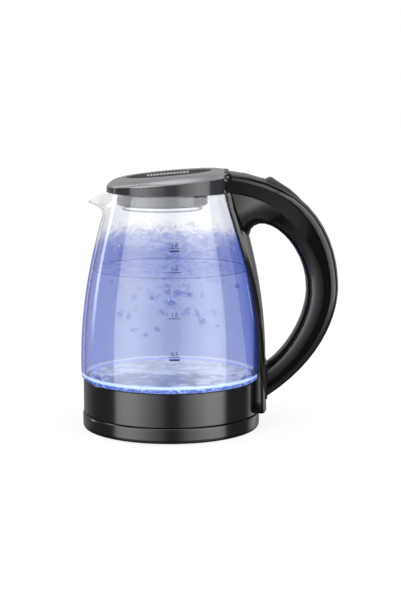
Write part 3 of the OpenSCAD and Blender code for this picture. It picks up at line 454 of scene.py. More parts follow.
@dataclass(frozen=True)
class LitWater:
    """Lit water: its blue is painted light from the lamps in the base, pale in the middle under a painted
    reflection and deeper where the view grazes it, broken up above its level, clear at its top.
    """

    name: str
    pale: Colour
    deep: Colour
    foam: Colour
    level: float
    fade_low: float
    fade_high: float
    rim_low: float
    rim_high: float
    # Dark blues of painted shade: strokes in the churn, and a ring at the water's foot
    stroke_shade_blue: Colour = (0.02, 0.04, 0.4)
    rim_shade_blue: Colour = (0.03, 0.05, 0.35)
    rim_soft: float = 0.8 * MM
    # Painted glow of the water where the view grazes it: its colour and its strength
    painted_glow_blue: Colour = (0.45, 0.6, 1.0)
    painted_glow: float = 0.08
    flattening: float = 1.7
    ragged: float = 30 * MM

    def build(self) -> bpy.types.Material:
        """Make the material.

        Returns:
            The finished material.
        """
        material, tree, shader = start_material(self.name, {
            "Transmission Weight": 1.0, "IOR": 1.0, "Roughness": 0.0, "Specular IOR Level": 0.0,
            "Emission Strength": 1.0})
        place, axes = object_axes(tree)
        normal = tree.add("SeparateXYZ", Vector=tree.add("TexCoord").outputs["Normal"])
        upright = tree.math("ABSOLUTE", normal.outputs["Z"])
        facing = tree.add("LayerWeight", Blend=0.5).outputs["Facing"]
        # Painted light and reflection: pale blue where the view meets the water square, deep blue where it
        # grazes
        blue = tree.mix(tree.ramp(facing, 0.08, 0.8, smooth=False), rgba(self.pale), rgba(self.deep))
        squat = tree.add("VectorMath", {"operation": "MULTIPLY"}, Vector=place)
        squat.inputs[1].default_value = (1, 1, self.flattening)
        swirl = tree.add("TexNoise", Vector=squat.outputs[0], Scale=62.0, Detail=9.0, Roughness=0.66,
                         Distortion=1.8).outputs["Fac"]
        bent = tree.add("TexNoise", Vector=squat.outputs[0], Scale=230.0, Detail=3.0, Roughness=0.6,
                        Distortion=2.2).outputs["Fac"]
        above = tree.ramp(axes.outputs["Z"], self.level - 1 * MM, self.level + 1 * MM)
        churned = tree.mix(tree.ramp(swirl, 0.58, 0.66), blue, rgba(self.foam))
        # Painted shade in the churn above the level: deep blue patches and dark blue strokes
        churned = tree.mix(tree.ramp(swirl, 0.47, 0.4), churned, rgba(self.deep))
        stroke = tree.between(bent, (0.45, 0.49), (0.51, 0.55))
        stroke = tree.product(stroke, tree.ramp(swirl, 0.4, 0.5, 0.2, 0.95))
        churned = tree.mix(stroke, churned, rgba(self.stroke_shade_blue))
        blue = tree.mix(above, blue, churned)
        # Painted shade: a dark blue ring round the water's foot, on the front sides
        rim = tree.between(axes.outputs["Z"], (self.rim_low, self.rim_low + self.rim_soft),
                           (self.rim_high, self.rim_high + self.rim_soft))
        sides = tree.ramp(tree.math("ABSOLUTE", axes.outputs["X"]), 30 * MM, 46 * MM)
        front = tree.ramp(axes.outputs["Y"], -12 * MM, 4 * MM, 1.0, 0.0)
        blue = tree.mix(tree.product(rim, sides, front), blue, rgba(self.rim_shade_blue))
        torn = tree.stray(axes.outputs["Z"], swirl, self.ragged)
        fade = tree.ramp(torn, self.fade_low, self.fade_high, 1.0, 0.0)
        share = tree.product(fade, tree.ramp(upright, 0.5, 0.8, 1.0, 0.0))
        tree.put(shader.inputs["Base Color"], tree.mix(share, rgba((1, 1, 1)), blue))
        # Painted glow: the water gives off a faint blue light where the view grazes it
        painted_glow = tree.product(share, tree.ramp(facing, 0.2, 0.7, 0.0, self.painted_glow))
        tree.put(shader.inputs["Emission Color"], tree.mix(painted_glow, rgba((0, 0, 0)), rgba(self.painted_glow_blue)))
        return material


@dataclass(frozen=True)
class LitPlate:
    """The heating plate: turned steel under froth, lit by the ring, with its rolled channel painted as a dark
    blue ring of shade.
    """

    name: str
    steel: Colour
    groove_shade: Colour
    near: Colour
    far: Colour
    groove_in: float
    groove_out: float
    froth_white: Colour = (0.85, 0.87, 0.9)
    froth_share: float = 0.75
    groove_wave: float = 6 * MM
    shade_wave: float = 40 * MM

    def build(self) -> bpy.types.Material:
        """Make the material.

        Returns:
            The finished material.
        """
        material, tree, shader = start_material(
            self.name, {"Roughness": 0.5, "Specular IOR Level": 0.1, "Emission Strength": 1.0})
        _, axes = object_axes(tree)
        grain = Groups.place(tree, "turned", Scale=1500.0)
        froth = Groups.place(tree, "froth", Patch=75.0)
        patches = froth.outputs["Mask"]
        wavy = tree.stray(distance_round(tree, axes)[1], patches, self.groove_wave)
        ring = tree.between(wavy, (self.groove_in - 0.8 * MM, self.groove_in + 0.4 * MM),
                            (self.groove_out - 0.4 * MM, self.groove_out + 0.8 * MM))
        sides = tree.ramp(tree.math("ABSOLUTE", axes.outputs["X"]), 30 * MM, 42 * MM)
        front = tree.ramp(axes.outputs["Y"], -10 * MM, 2 * MM, 1.0, 0.0)
        ring = tree.product(ring, sides, front)
        edge = tree.stray(axes.outputs["Y"], patches, self.shade_wave)
        light = tree.mix(tree.ramp(edge, 0.0, 8 * MM), rgba(self.near), rgba(self.far))
        dapple = tree.ramp(patches, 0.35, 0.7, 0.72, 1.3)
        shaded = tree.add("VectorMath", {"operation": "SCALE"}, Vector=light, Scale=dapple).outputs[0]
        right = tree.ramp(axes.outputs["X"], 0, 25 * MM, 0.0, 0.12)
        blotch = tree.ramp(tree.math("ADD", patches, right), 0.58, 0.63)
        shaded = tree.mix(tree.product(blotch, self.froth_share), shaded, rgba(self.froth_white))
        # Painted shade: the rolled channel is a dark blue ring in the plate's glow and in its colour
        tree.put(shader.inputs["Emission Color"], tree.mix(ring, shaded, rgba(self.groove_shade)))
        tone = tree.mix(grain.outputs["Gloss"], rgba(self.steel), rgba(tuple(c * 0.6 for c in self.steel)))
        tree.put(shader.inputs["Base Color"], tree.mix(ring, tone, rgba(self.groove_shade)))
        bump = tree.add("Bump", Height=grain.outputs["Relief"], Strength=0.1, Distance=RELIEF_DEPTH)
        tree.put(shader.inputs["Normal"], bump.outputs[0])
        return material


@dataclass(frozen=True)
class RimShadeSkin:
    """The skin of a bubble or a wave in water: a painted dark blue rim of shade where the view grazes it,
    clear in its middle.
    """

    name: str
    rim: Colour
    clear_to: float
    blue_from: float
    cover: float
    patchiness: float = 0.9

    def build(self) -> bpy.types.Material:
        """Make the material.

        Returns:
            The finished material.
        """
        # Painted shade: the rim's dark blue is given as glow where the view grazes the skin
        material, tree, shader = start_material(self.name, {
            "Base Color": rgba((0, 0, 0)), "Specular IOR Level": 0.0, "Emission Color": rgba(self.rim),
            "Emission Strength": 1.0})
        froth = Groups.place(tree, "froth", Patch=160.0)
        facing = tree.add("LayerWeight", Blend=0.5).outputs["Facing"]
        uneven = tree.stray(facing, froth.outputs["Mask"], self.patchiness)
        tree.put(shader.inputs["Alpha"], tree.ramp(uneven, self.clear_to, self.blue_from, 0.0, self.cover))
        return material


@dataclass(frozen=True)
class Glow:
    """A lit surface with fine sparkle."""

    name: str
    colour: Colour
    dark: Colour
    strength: float
    scale: float = 350.0

    def build(self) -> bpy.types.Material:
        """Make the material.

        Returns:
            The finished material.
        """
        material, tree, shader = start_material(self.name, {
            "Base Color": rgba((0.75, 0.8, 0.9)), "Roughness": 0.4, "Emission Strength": self.strength})
        froth = Groups.place(tree, "froth", Patch=self.scale)
        tree.put(shader.inputs["Emission Color"],
                 tree.mix(tree.ramp(froth.outputs["Mask"], 0.4, 0.62), rgba(self.dark), rgba(self.colour)))
        return material


@dataclass(frozen=True)
class Print:
    """Dark print on glass, a little worn; it also draws the painted shade line at the water's edge."""

    name: str
    colour: Colour

    def build(self) -> bpy.types.Material:
        """Make the material.

        Returns:
            The finished material.
        """
        material, tree, shader = start_material(self.name, {"Roughness": 0.5})
        gloss = Groups.place(tree, "moulded", Scale=1500.0).outputs["Gloss"]
        lighter = tuple(min(c * 1.6 + 0.03, 1) for c in self.colour)
        tree.put(shader.inputs["Base Color"], tree.mix(gloss, rgba(self.colour), rgba(lighter)))
        return material


class Palette:
    """Every finish of the kettle, by the name of its slot in the record."""

    gloss_black = Solid("gloss_black", (0.008, 0.008, 0.009), 0.2, specular=1.0, relief=0.015)
    handle_black = Solid("handle_black", (0.006, 0.006, 0.007), 0.15, specular=0.8, relief=0.015)
    satin_black = Solid("satin_black", (0.018, 0.018, 0.02), 0.38, grain_scale=1600.0, relief=0.12)
    core_black = Solid("core_black", (0.005, 0.005, 0.006), 0.2, specular=0.12, relief=0.02)
    button_grey = Solid("button_grey", (0.09, 0.09, 0.097), 0.22, specular=0.8)
    lacquer_grey = Solid("lacquer_grey", (0.44, 0.445, 0.455), 0.3, metallic=0.5, relief=0.02)
    smoke_gloss = Solid("smoke_gloss", (0.05, 0.051, 0.055), 0.14, metallic=0.3, specular=0.8)
    inlay_dark = Solid("inlay_dark", (0.008, 0.008, 0.009), 0.3, specular=0.02)
    strip_bright = Solid("strip_bright", (0.85, 0.86, 0.88), 0.2, metallic=0.3)
    chrome = Solid("chrome", (0.86, 0.87, 0.89), 0.06, metallic=1.0, relief=0.01, shade_change=0.05)
    steel = Solid("steel", (0.27, 0.275, 0.285), 0.24, metallic=1.0, grain=Grain.TURNED, grain_scale=2600.0,
                  relief=0.12, gloss_change=0.16)
    zinc = Solid("zinc", (0.55, 0.56, 0.58), 0.3, metallic=1.0, relief=0.08)
    aluminium = Solid("aluminium", (0.66, 0.67, 0.69), 0.34, metallic=1.0, grain=Grain.TURNED, relief=0.1)
    element = Solid("element", (0.3, 0.3, 0.31), 0.4, metallic=0.9, relief=0.1, shade_change=0.3)
    brass = Solid("brass", (0.75, 0.55, 0.22), 0.26, metallic=1.0, grain=Grain.TURNED, relief=0.06)
    silicone = Solid("silicone", (0.75, 0.77, 0.8), 0.45, relief=0.04)
    dark_rubber = Solid("dark_rubber", (0.03, 0.03, 0.032), 0.65, grain_scale=1800.0, relief=0.15)
    white_plastic = Solid("white_plastic", (0.72, 0.72, 0.7), 0.4, relief=0.04)
    board = Solid("board", (0.03, 0.16, 0.07), 0.35, grain_scale=700.0, relief=0.05)
    lit_plate = LitPlate("lit_plate", steel=(0.03, 0.03, 0.035), groove_shade=(0.02, 0.03, 0.3),
                         near=(0.38, 0.42, 0.6), far=(0.74, 0.77, 0.86), groove_in=61.6 * MM,
                         groove_out=68 * MM)
    lamp = Glow("lamp", (0.8, 0.9, 1.0), (0.4, 0.6, 1.0), 2.0)
    light_guide = Glow("light_guide", (0.3, 0.42, 0.85), (0.06, 0.1, 0.45), 0.7)
    clear_plastic = ClearPlastic("clear_plastic", (0.95, 0.96, 0.98))

    slots: dict[str, object] = {
        "black_gloss": handle_black, "black_satin": satin_black, "core_black": core_black,
        "switch_grey": button_grey, "lid_grey": lacquer_grey, "lid_dark": smoke_gloss,
        "panel_dark": inlay_dark, "chrome_trim": chrome, "steel": steel, "screw_steel": zinc,
        "aluminium": aluminium, "element": element, "brass": brass, "silicone": silicone,
        "rubber_dark": dark_rubber, "white_plastic": white_plastic, "board": board, "lamp": lamp,
        "light_guide": light_guide, "clear_plastic": clear_plastic,
    }
    built: dict[str, bpy.types.Material] = {}

    @classmethod
    def get(cls, finish: object) -> bpy.types.Material:
        """The built material of a finish, made when it is first asked for."""
        if finish.name not in cls.built:
            cls.built[finish.name] = finish.build()
        return cls.built[finish.name]


# ---- Mesh helpers ------------------------------------------------------------------------


def mesh_object(name: str, bm: bmesh.types.BMesh, finish: object, body: Body,
                smooth_angle: float = 35.0) -> bpy.types.Object:
    """Turn a bmesh into a finished piece that rides on a body.

    Args:
        name: the piece's name.
        bm: its shape, in place in the frame; it is freed.
        finish: its finish.
        body: the body that it moves with.
        smooth_angle: edges that bend more than this many degrees stay sharp.

    Returns:
        The new object.
    """
    mesh = bpy.data.meshes.new(name)
    for edge in bm.edges:
        edge.smooth = edge.is_manifold and edge.calc_face_angle(0.0) < math.radians(smooth_angle)
    for face in bm.faces:
        face.smooth = True
    bm.to_mesh(mesh)
    bm.free()
    if "custom_normal" in mesh.attributes:
        mesh.attributes.remove(mesh.attributes["custom_normal"])
    piece = bpy.data.objects.new(name, mesh)
    bpy.context.scene.collection.objects.link(piece)
    mesh.materials.append(Palette.get(finish))
    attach(piece, body.value)
    log.info("%s: %d faces on %s", name, len(mesh.polygons), body.value)
    return piece


def revolve(line: Line, steps: int = 160, closed: bool = False) -> bmesh.types.BMesh:
    """Spin a line of (radius, height) points round the kettle's axis.

    Args:
        line: the points, from one end to the other.
        steps: faces round the axis.
        closed: joins the last point to the first, for a ring of any section.

    Returns:
        The surface, with its normals outwards.
    """
    bm = bmesh.new()
    verts = [bm.verts.new((r, 0.0, z)) for r, z in line]
    pairs = list(zip(verts, verts[1:])) + ([(verts[-1], verts[0])] if closed else [])
    edges = [bm.edges.new(pair) for pair in pairs]
    bmesh.ops.spin(bm, geom=verts + edges, cent=(0, 0, 0), axis=(0, 0, 1), angle=math.tau,
                   steps=steps, use_merge=True)
    bmesh.ops.remove_doubles(bm, verts=bm.verts, dist=0.001 * MM)
    bmesh.ops.dissolve_degenerate(bm, edges=bm.edges, dist=0.001 * MM)
    bmesh.ops.recalc_face_normals(bm, faces=bm.faces)
    return bm


def bezier(points: Sequence[tuple[float, float]], t: float) -> tuple[float, float]:
    """The point at t on a cubic curve with these four poles."""
    weights = ((1 - t) ** 3, 3 * (1 - t) ** 2 * t, 3 * (1 - t) * t * t, t**3)
    return tuple(sum(w * p[i] for w, p in zip(weights, points)) for i in (0, 1))


def smoothed_copy(node: str, finish: object, body: Body, sharp: float = 30.0) -> bpy.types.Object:
    """A merged copy of a faceted solid with smooth shading, which stands for that solid.

    Args:
        node: the solid's name.
        finish: the copy's finish.
        body: the body that it moves with.
        sharp: edges that bend more than this many degrees stay sharp.

    Returns:
        The new piece.
    """
    bm = bmesh.new()
    bm.from_mesh(NODES[node].data)
    bmesh.ops.remove_doubles(bm, verts=bm.verts, dist=0.002 * MM)
    piece = mesh_object(node + "_skin", bm, finish, body, sharp)
    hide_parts(node)
    return piece


# ---- Sub-assemblies ----------------------------------------------------------------------


@dataclass
class GlassJug:
    """The blown glass: a round wall that narrows to its mouth, with a pulled spout."""

    wall: float = 2.5 * MM
    shoulder_step: float = 1.8 * MM
    mouth_r: float = 53.4 * MM
    spout_reach: float = 17.8 * MM
    spout_drop: float = 8.4 * MM
    spout_w: float = 34 * MM
    throat_drop: float = 20.5 * MM
    # How far round the mouth the spout draws the wall, and how late its reach and its dip set in
    spout_spread: float = 1.55
    reach_power: float = 2.2
    dip_power: float = 1.8
    shrink: float = 0.999
    collar_r: float = field(init=False)
    collar_top: float = field(init=False)
    foot_z: float = field(init=False)
    foot_r: float = field(init=False)
    rim: float = field(init=False)

    def __post_init__(self) -> None:
        """Read the levels that the frame sets."""
        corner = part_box("base_collar")[1]
        self.collar_r = corner.y
        self.collar_top = corner.z
        self.foot_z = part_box("glass_jug")[0].z
        self.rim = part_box("glass_jug")[1].z
        self.foot_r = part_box("led_board")[1].y + 0.1 * MM

    @property
    def shoulder_r(self) -> float:
        """Radius of the wall just above the collar."""
        return self.collar_r + self.shoulder_step

    @property
    def body_z(self) -> float:
        """Height at which the long curve of the wall begins."""
        return self.collar_top + 3.2 * MM

    def curve(self) -> list[tuple[float, float]]:
        """The four poles of the wall's outer line."""
        rise = self.rim - self.body_z
        return [(self.shoulder_r, self.body_z), (self.shoulder_r + 2.1 * MM, self.body_z + 0.54 * rise),
                (self.mouth_r + 1.1 * MM, self.rim - 15.8 * MM), (self.mouth_r, self.rim)]

    def radius(self, z: float) -> float:
        """Outer radius of the wall at a height, away from the spout."""
        if z <= self.body_z:
            return self.shoulder_r
        low, high = 0.0, 1.0
        for _ in range(22):
            middle = (low + high) / 2
            if bezier(self.curve(), middle)[1] < z:
                low = middle
            else:
                high = middle
        return bezier(self.curve(), low)[0]

    def inner(self, z: float) -> float:
        """Inner radius of the wall at a height."""
        return self.radius(z) - self.wall

    def outline(self, rows: int = 44) -> Line:
        """The wall's whole section: up the outside, over the lip and down the inside."""
        top = self.collar_top
        foot = [(self.foot_r, self.foot_z), (self.foot_r, top - 1.0 * MM),
                (self.foot_r + 0.5 * MM, top + 0.1 * MM), (self.shoulder_r - 1.6 * MM, top + 0.7 * MM),
                (self.shoulder_r - 0.3 * MM, top + 1.8 * MM)]
        lip = 0.45 * self.wall
        heights = [self.body_z + (self.rim - lip - self.body_z) * i / rows for i in range(rows + 1)]
        outer = foot + [(self.radius(z), z) for z in heights]
        inner = [(r - self.wall, z) for r, z in outer]
        half = self.wall / 2
        turns = [math.radians(45 * k) for k in (1, 2, 3)]
        rounded = [(self.mouth_r - half + half * math.cos(a), self.rim - lip + lip * math.sin(a))
                   for a in turns]
        return outer + rounded + inner[::-1]

    def pull_spout(self, bm: bmesh.types.BMesh) -> None:
        """Draw the wall near the mouth out and down into the spout.

        Args:
            bm: the revolved wall, changed in place.
        """
        half_angle = math.asin(self.spout_w / 2 / self.mouth_r) * self.spout_spread
        throat = self.rim - self.throat_drop
        for vert in bm.verts:
            share = (vert.co.z - throat) / (self.rim - throat)
            away = abs(math.atan2(vert.co.y, -vert.co.x))
            if share <= 0 or away >= half_angle:
                continue
            weight = math.cos(math.pi / 2 * away / half_angle) ** 2
            radius = math.hypot(vert.co.x, vert.co.y)
            grown = (radius + self.spout_reach * weight * share**self.reach_power) / radius
            vert.co.x *= grown
            vert.co.y *= grown
            vert.co.z -= self.spout_drop * weight**self.dip_power * share

    def build(self) -> bpy.types.Object:
        """Make the glass, which stands for the faceted solid."""
        bm = revolve(self.outline(), steps=192, closed=True)
        self.pull_spout(bm)
        bmesh.ops.scale(bm, verts=bm.verts, vec=(self.shrink, self.shrink, 1))
        bmesh.ops.recalc_face_normals(bm, faces=bm.faces)
        finish = ClearGlass("jug_clear_glass", tint=(0.985, 0.99, 1.0), white_glow=(0.45, 0.62, 0.88),
                            blue_glow=(0.02, 0.07, 0.42), edge_shade_blue=(0.1, 0.13, 0.55),
                            edge_shade_grey=(0.5, 0.5, 0.53), glow_low=self.collar_top - 0.3 * MM,
                            glow_middle=self.collar_top + 3.3 * MM, glow_high=self.collar_top + 6.6 * MM,
                            water_top=160 * MM)
        piece = mesh_object("jug_glass", bm, finish, Body.KETTLE, 60)
        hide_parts("glass_jug")
        return piece


@dataclass
class Boil:
    """The boiling water: its body, its froth, the spray above it and its bubbles."""

    jug: GlassJug
    level: float = 136.7 * MM
    clearance: float = 0.25 * MM
    spray_top: float = 166 * MM
    # Blues of the water and its froth, all painted light from the lamps in the base: pale where a painted
    # reflection lightens it, deep at grazing views
    pale: Colour = (0.32, 0.39, 0.71)
    deep: Colour = (0.12, 0.17, 0.6)
    foam: Colour = (0.62, 0.72, 0.96)
    seed: int = 11
    # Sizes of the bubbles, their highest place and how far out they reach, in millimetres
    bubble_sizes: tuple[float, ...] = (0.6, 0.9, 1.2, 1.6, 2.2)
    bubble_top: float = 134
    bubble_reach: float = 66
    # Swarms of bubbles: place across and height of the middle, spread and number, in millimetres
    swarms: tuple[tuple[float, float, float, int], ...] = (
        (-31, 112, 2.5, 7), (-15, 115, 5, 18), (-2, 118, 5, 14), (9, 120, 6, 16), (16, 112, 4, 12),
        (0, 107, 5, 14), (-28, 101, 3, 5), (-43, 99, 3, 5), (-35, 98, 2.5, 4), (-6, 101, 3.5, 8),
        (12, 100, 5, 10), (24, 99, 5, 12), (36, 101, 4, 9), (27, 89, 4.5, 12), (39, 86, 2, 3),
        (-11, 81, 3, 8), (-22, 77, 2.5, 5), (-32, 88, 2, 3), (2, 126, 22, 60), (56, 124, 3, 6),
        (-40, 126, 10, 10), (38, 124, 10, 12))

    def wave(self, x: float, y: float) -> float:
        """Height of the water's surface over its level, at a place in the jug."""
        edge = min(1.0, math.hypot(x, y) / self.jug.inner(self.level))
        long_swell = noise.noise(Vector((x * 38, y * 38, 0.7)))
        short_swell = noise.noise(Vector((x * 120, y * 120, 3.1)))
        swell = long_swell + 0.45 * short_swell
        back = min(1.0, max(0.0, (y + 30 * MM) / (80 * MM)))
        return (1 - edge**6) * (1.2 * MM + 5.5 * MM * abs(swell) * (0.35 + 0.65 * back))

    def water(self) -> bpy.types.Object:
        """The water and, over its level, the froth that the boil throws up."""
        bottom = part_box("heating_plate")[1].z + 0.2 * MM
        floor_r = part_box("light_ring")[1].y - 4.5 * MM
        low, high = self.jug.collar_top + 3.4 * MM, self.spray_top + 8 * MM
        side = [low + (high - low) * i / 56 for i in range(57)]
        wall = [(self.jug.inner(z) - self.clearance, z) for z in side]
        floor = [(0, bottom), (floor_r, bottom), (floor_r + 2 * MM, bottom + 2.6 * MM)]
        bm = revolve(floor + wall + [(0, high)], steps=160)
        finish = LitWater("lit_water", self.pale, self.deep, self.foam, self.level,
                           fade_low=self.spray_top - 10 * MM, fade_high=self.spray_top + 7 * MM,
                           rim_low=bottom + 0.2 * MM, rim_high=low)
        return mesh_object("water", bm, finish, Body.KETTLE, 60)

    def waves(self) -> bpy.types.Object:
        """The thin wavy skin of the water at its level, with painted shade lines where the view grazes it."""
        rings, thick = 44, 0.3 * MM
        reach = self.jug.inner(self.level) - self.clearance * 2
        across = [reach * i / rings for i in range(rings + 1)]
        upper = [(r, self.level) for r in across]
        under = [(r, self.level - thick) for r in reversed(across)]
        bm = revolve(upper + under, steps=160)
        for vert in bm.verts:
            vert.co.z += self.wave(vert.co.x, vert.co.y)
        # Painted shade lines on the waves
        finish = RimShadeSkin("wave_skin", (0.14, 0.22, 0.75), 0.85, 0.97, 0.5)
        return mesh_object("waves", bm, finish, Body.KETTLE, 60)

    def line(self) -> bpy.types.Object:
        """The dark line where the water meets the glass: painted shade, drawn as a thin ring."""
        radius = self.jug.inner(self.level) - 0.3 * MM
        section = [(radius + 0.26 * MM * math.cos(a), self.level + 0.34 * MM * math.sin(a))
                   for a in (math.tau * k / 6 for k in range(6))]
        bm = revolve(section, steps=160, closed=True)
        # Painted shade: a dark blue ring at the water's edge, in the print finish
        finish = Print("water_line_shade", (0.08, 0.13, 0.45))
        return mesh_object("water_line_shade", bm, finish, Body.KETTLE, 60)

    def bubbles(self) -> bpy.types.Object:
        """Rising bubbles: swarms in the middle of the water and a crowd under its surface."""
        chance = random.Random(self.seed)
        bm = bmesh.new()
        for x, z, spread, count in self.swarms:
            depth = chance.uniform(-30, 10)
            for _ in range(count):
                across = chance.gauss(x, spread / 1.6)
                along = depth + chance.gauss(0, 3)
                centre = Vector((across, along, chance.gauss(z, spread / 2.6)))
                size = chance.choice(self.bubble_sizes) * chance.uniform(0.8, 1.2)
                if centre.z > self.bubble_top - size or centre.to_2d().length > self.bubble_reach:
                    continue
                turn = Matrix.Rotation(chance.uniform(0, math.pi), 4, "Y")
                squash = Matrix.Diagonal((1, 1, chance.uniform(0.45, 0.8), 1))
                bmesh.ops.create_icosphere(bm, subdivisions=2, radius=size * MM,
                                           matrix=Matrix.Translation(centre * MM) @ turn @ squash)
        # Painted shade: dark blue rims on the bubbles
        finish = RimShadeSkin("bubble_skin", (0.03, 0.07, 0.55), 0.4, 0.62, 0.95)
        return mesh_object("bubbles", bm, finish, Body.KETTLE, 80)

    def build(self) -> None:
        """Make the water and what is in it."""
        self.water()
        self.waves()
        self.line()
        self.bubbles()


@dataclass
class LevelMarks:
    """The printed level marks on the front of the glass: a number over a short line."""

    jug: GlassJug
    middle_x: float = 3.6 * MM
    letter_h: float = 3.6 * MM
    film: float = 0.06 * MM
    line_w: float = 10 * MM
    line_h: float = 0.5 * MM
    block_drop: float = 2.4 * MM
    block_h: float = 1.5 * MM
    block_share: float = 0.86
    em_share: float = 1.35
    lift: float = 0.05 * MM
    numbers: tuple[tuple[str, float, float, bool], ...] = (
        ("1.8", 163.4 * MM, 161.0 * MM, True), ("1.5", 144.4 * MM, 141.8 * MM, False),
        ("1.0", 107.4 * MM, 104.8 * MM, False), ("0.5", 76.0 * MM, 73.6 * MM, True))

    def wrap(self, mesh: bpy.types.Mesh, height: float) -> None:
        """Bend a flat drawing, X across and Y up, round the glass at a height."""
        for vert in mesh.vertices:
            z = height + vert.co.y
            radius = self.jug.radius(z) + self.lift + vert.co.z
            angle = (self.middle_x + vert.co.x) / radius
            vert.co = (radius * math.sin(angle), -radius * math.cos(angle), z)
        mesh.update()

    def number(self, text: str, height: float) -> bmesh.types.BMesh:
        """One number as a thin film on the glass, in the middle at a height."""
        curve = bpy.data.curves.new("mark", "FONT")
        curve.body = text
        curve.size = self.letter_h * self.em_share
        curve.align_x = "CENTER"
        curve.align_y = "CENTER"
        curve.extrude = self.film / 2
        holder = bpy.data.objects.new("mark", curve)
        mesh = bpy.data.meshes.new_from_object(holder)
        self.wrap(mesh, height)
        bm = bmesh.new()
        bm.from_mesh(mesh)
        bmesh.ops.remove_doubles(bm, verts=bm.verts, dist=0.005 * MM)
        bpy.data.objects.remove(holder)
        bpy.data.curves.remove(curve)
        bpy.data.meshes.remove(mesh)
        return bm

    def bar(self, height: float, wide: float, tall: float) -> bmesh.types.BMesh:
        """A short level line on the glass."""
        bm = bmesh.new()
        bmesh.ops.create_cube(bm, size=1, matrix=Matrix.Diagonal((wide, tall, self.film, 1)))
        long_edges = [e for e in bm.edges if abs(e.verts[0].co.x - e.verts[1].co.x) > wide / 2]
        bmesh.ops.subdivide_edges(bm, edges=long_edges, cuts=9, use_grid_fill=True)
        mesh = bpy.data.meshes.new("bar")
        bm.to_mesh(mesh)
        self.wrap(mesh, height)
        bm.clear()
        bm.from_mesh(mesh)
        bpy.data.meshes.remove(mesh)
        return bm

    def build(self) -> None:
        """Print every mark."""
        ink = Print("mark_ink", (0.03, 0.04, 0.12))
        whole = bmesh.new()
        for text, height, line, bold in self.numbers:
            parts = [self.number(text, height), self.bar(line, self.line_w, self.line_h)]
            if bold:
                parts.append(self.bar(line - self.block_drop, self.line_w * self.block_share, self.block_h))
            for part in parts:
                scratch = bpy.data.meshes.new("scratch")
                part.to_mesh(scratch)
                part.free()
                whole.from_mesh(scratch)
                bpy.data.meshes.remove(scratch)
        mesh_object("level_marks", whole, ink, Body.KETTLE, 20)


@dataclass
class Solids:
    """The frame's own solids, each given its finish or a smooth skin."""

    # Solids of the kettle's body that get a smooth skin
    skins: tuple[str, ...] = (
        "handle_outer", "handle_inner", "handle_core", "handle_strap", "steam_tube", "hinge_spring")
    special: dict[str, object] = field(default_factory=lambda: {
        "base_collar": Palette.gloss_black, "base_cover": Palette.gloss_black,
        "heating_plate": Palette.lit_plate, "plate_seal": Palette.lit_plate})

    def slot_of(self, node: str) -> str:
        """The record's material slot of a solid."""
        return NODES[node].data.materials[0].name.split(".")[0]

    def build(self) -> None:
        """Finish every solid but the glass, which GlassJug makes anew."""
        for name, solid in NODES.items():
            slot = self.slot_of(name)
            finish = Palette.slots.get(slot)
            if finish is None:
                continue
            if name in self.skins:
                smoothed_copy(name, finish, Body.KETTLE)
                continue
            finish = self.special.get(name, finish)
            material = Palette.get(finish)
            for holder in solid.material_slots:
                holder.material = material
            log.info("%s: %s", name, finish.name)


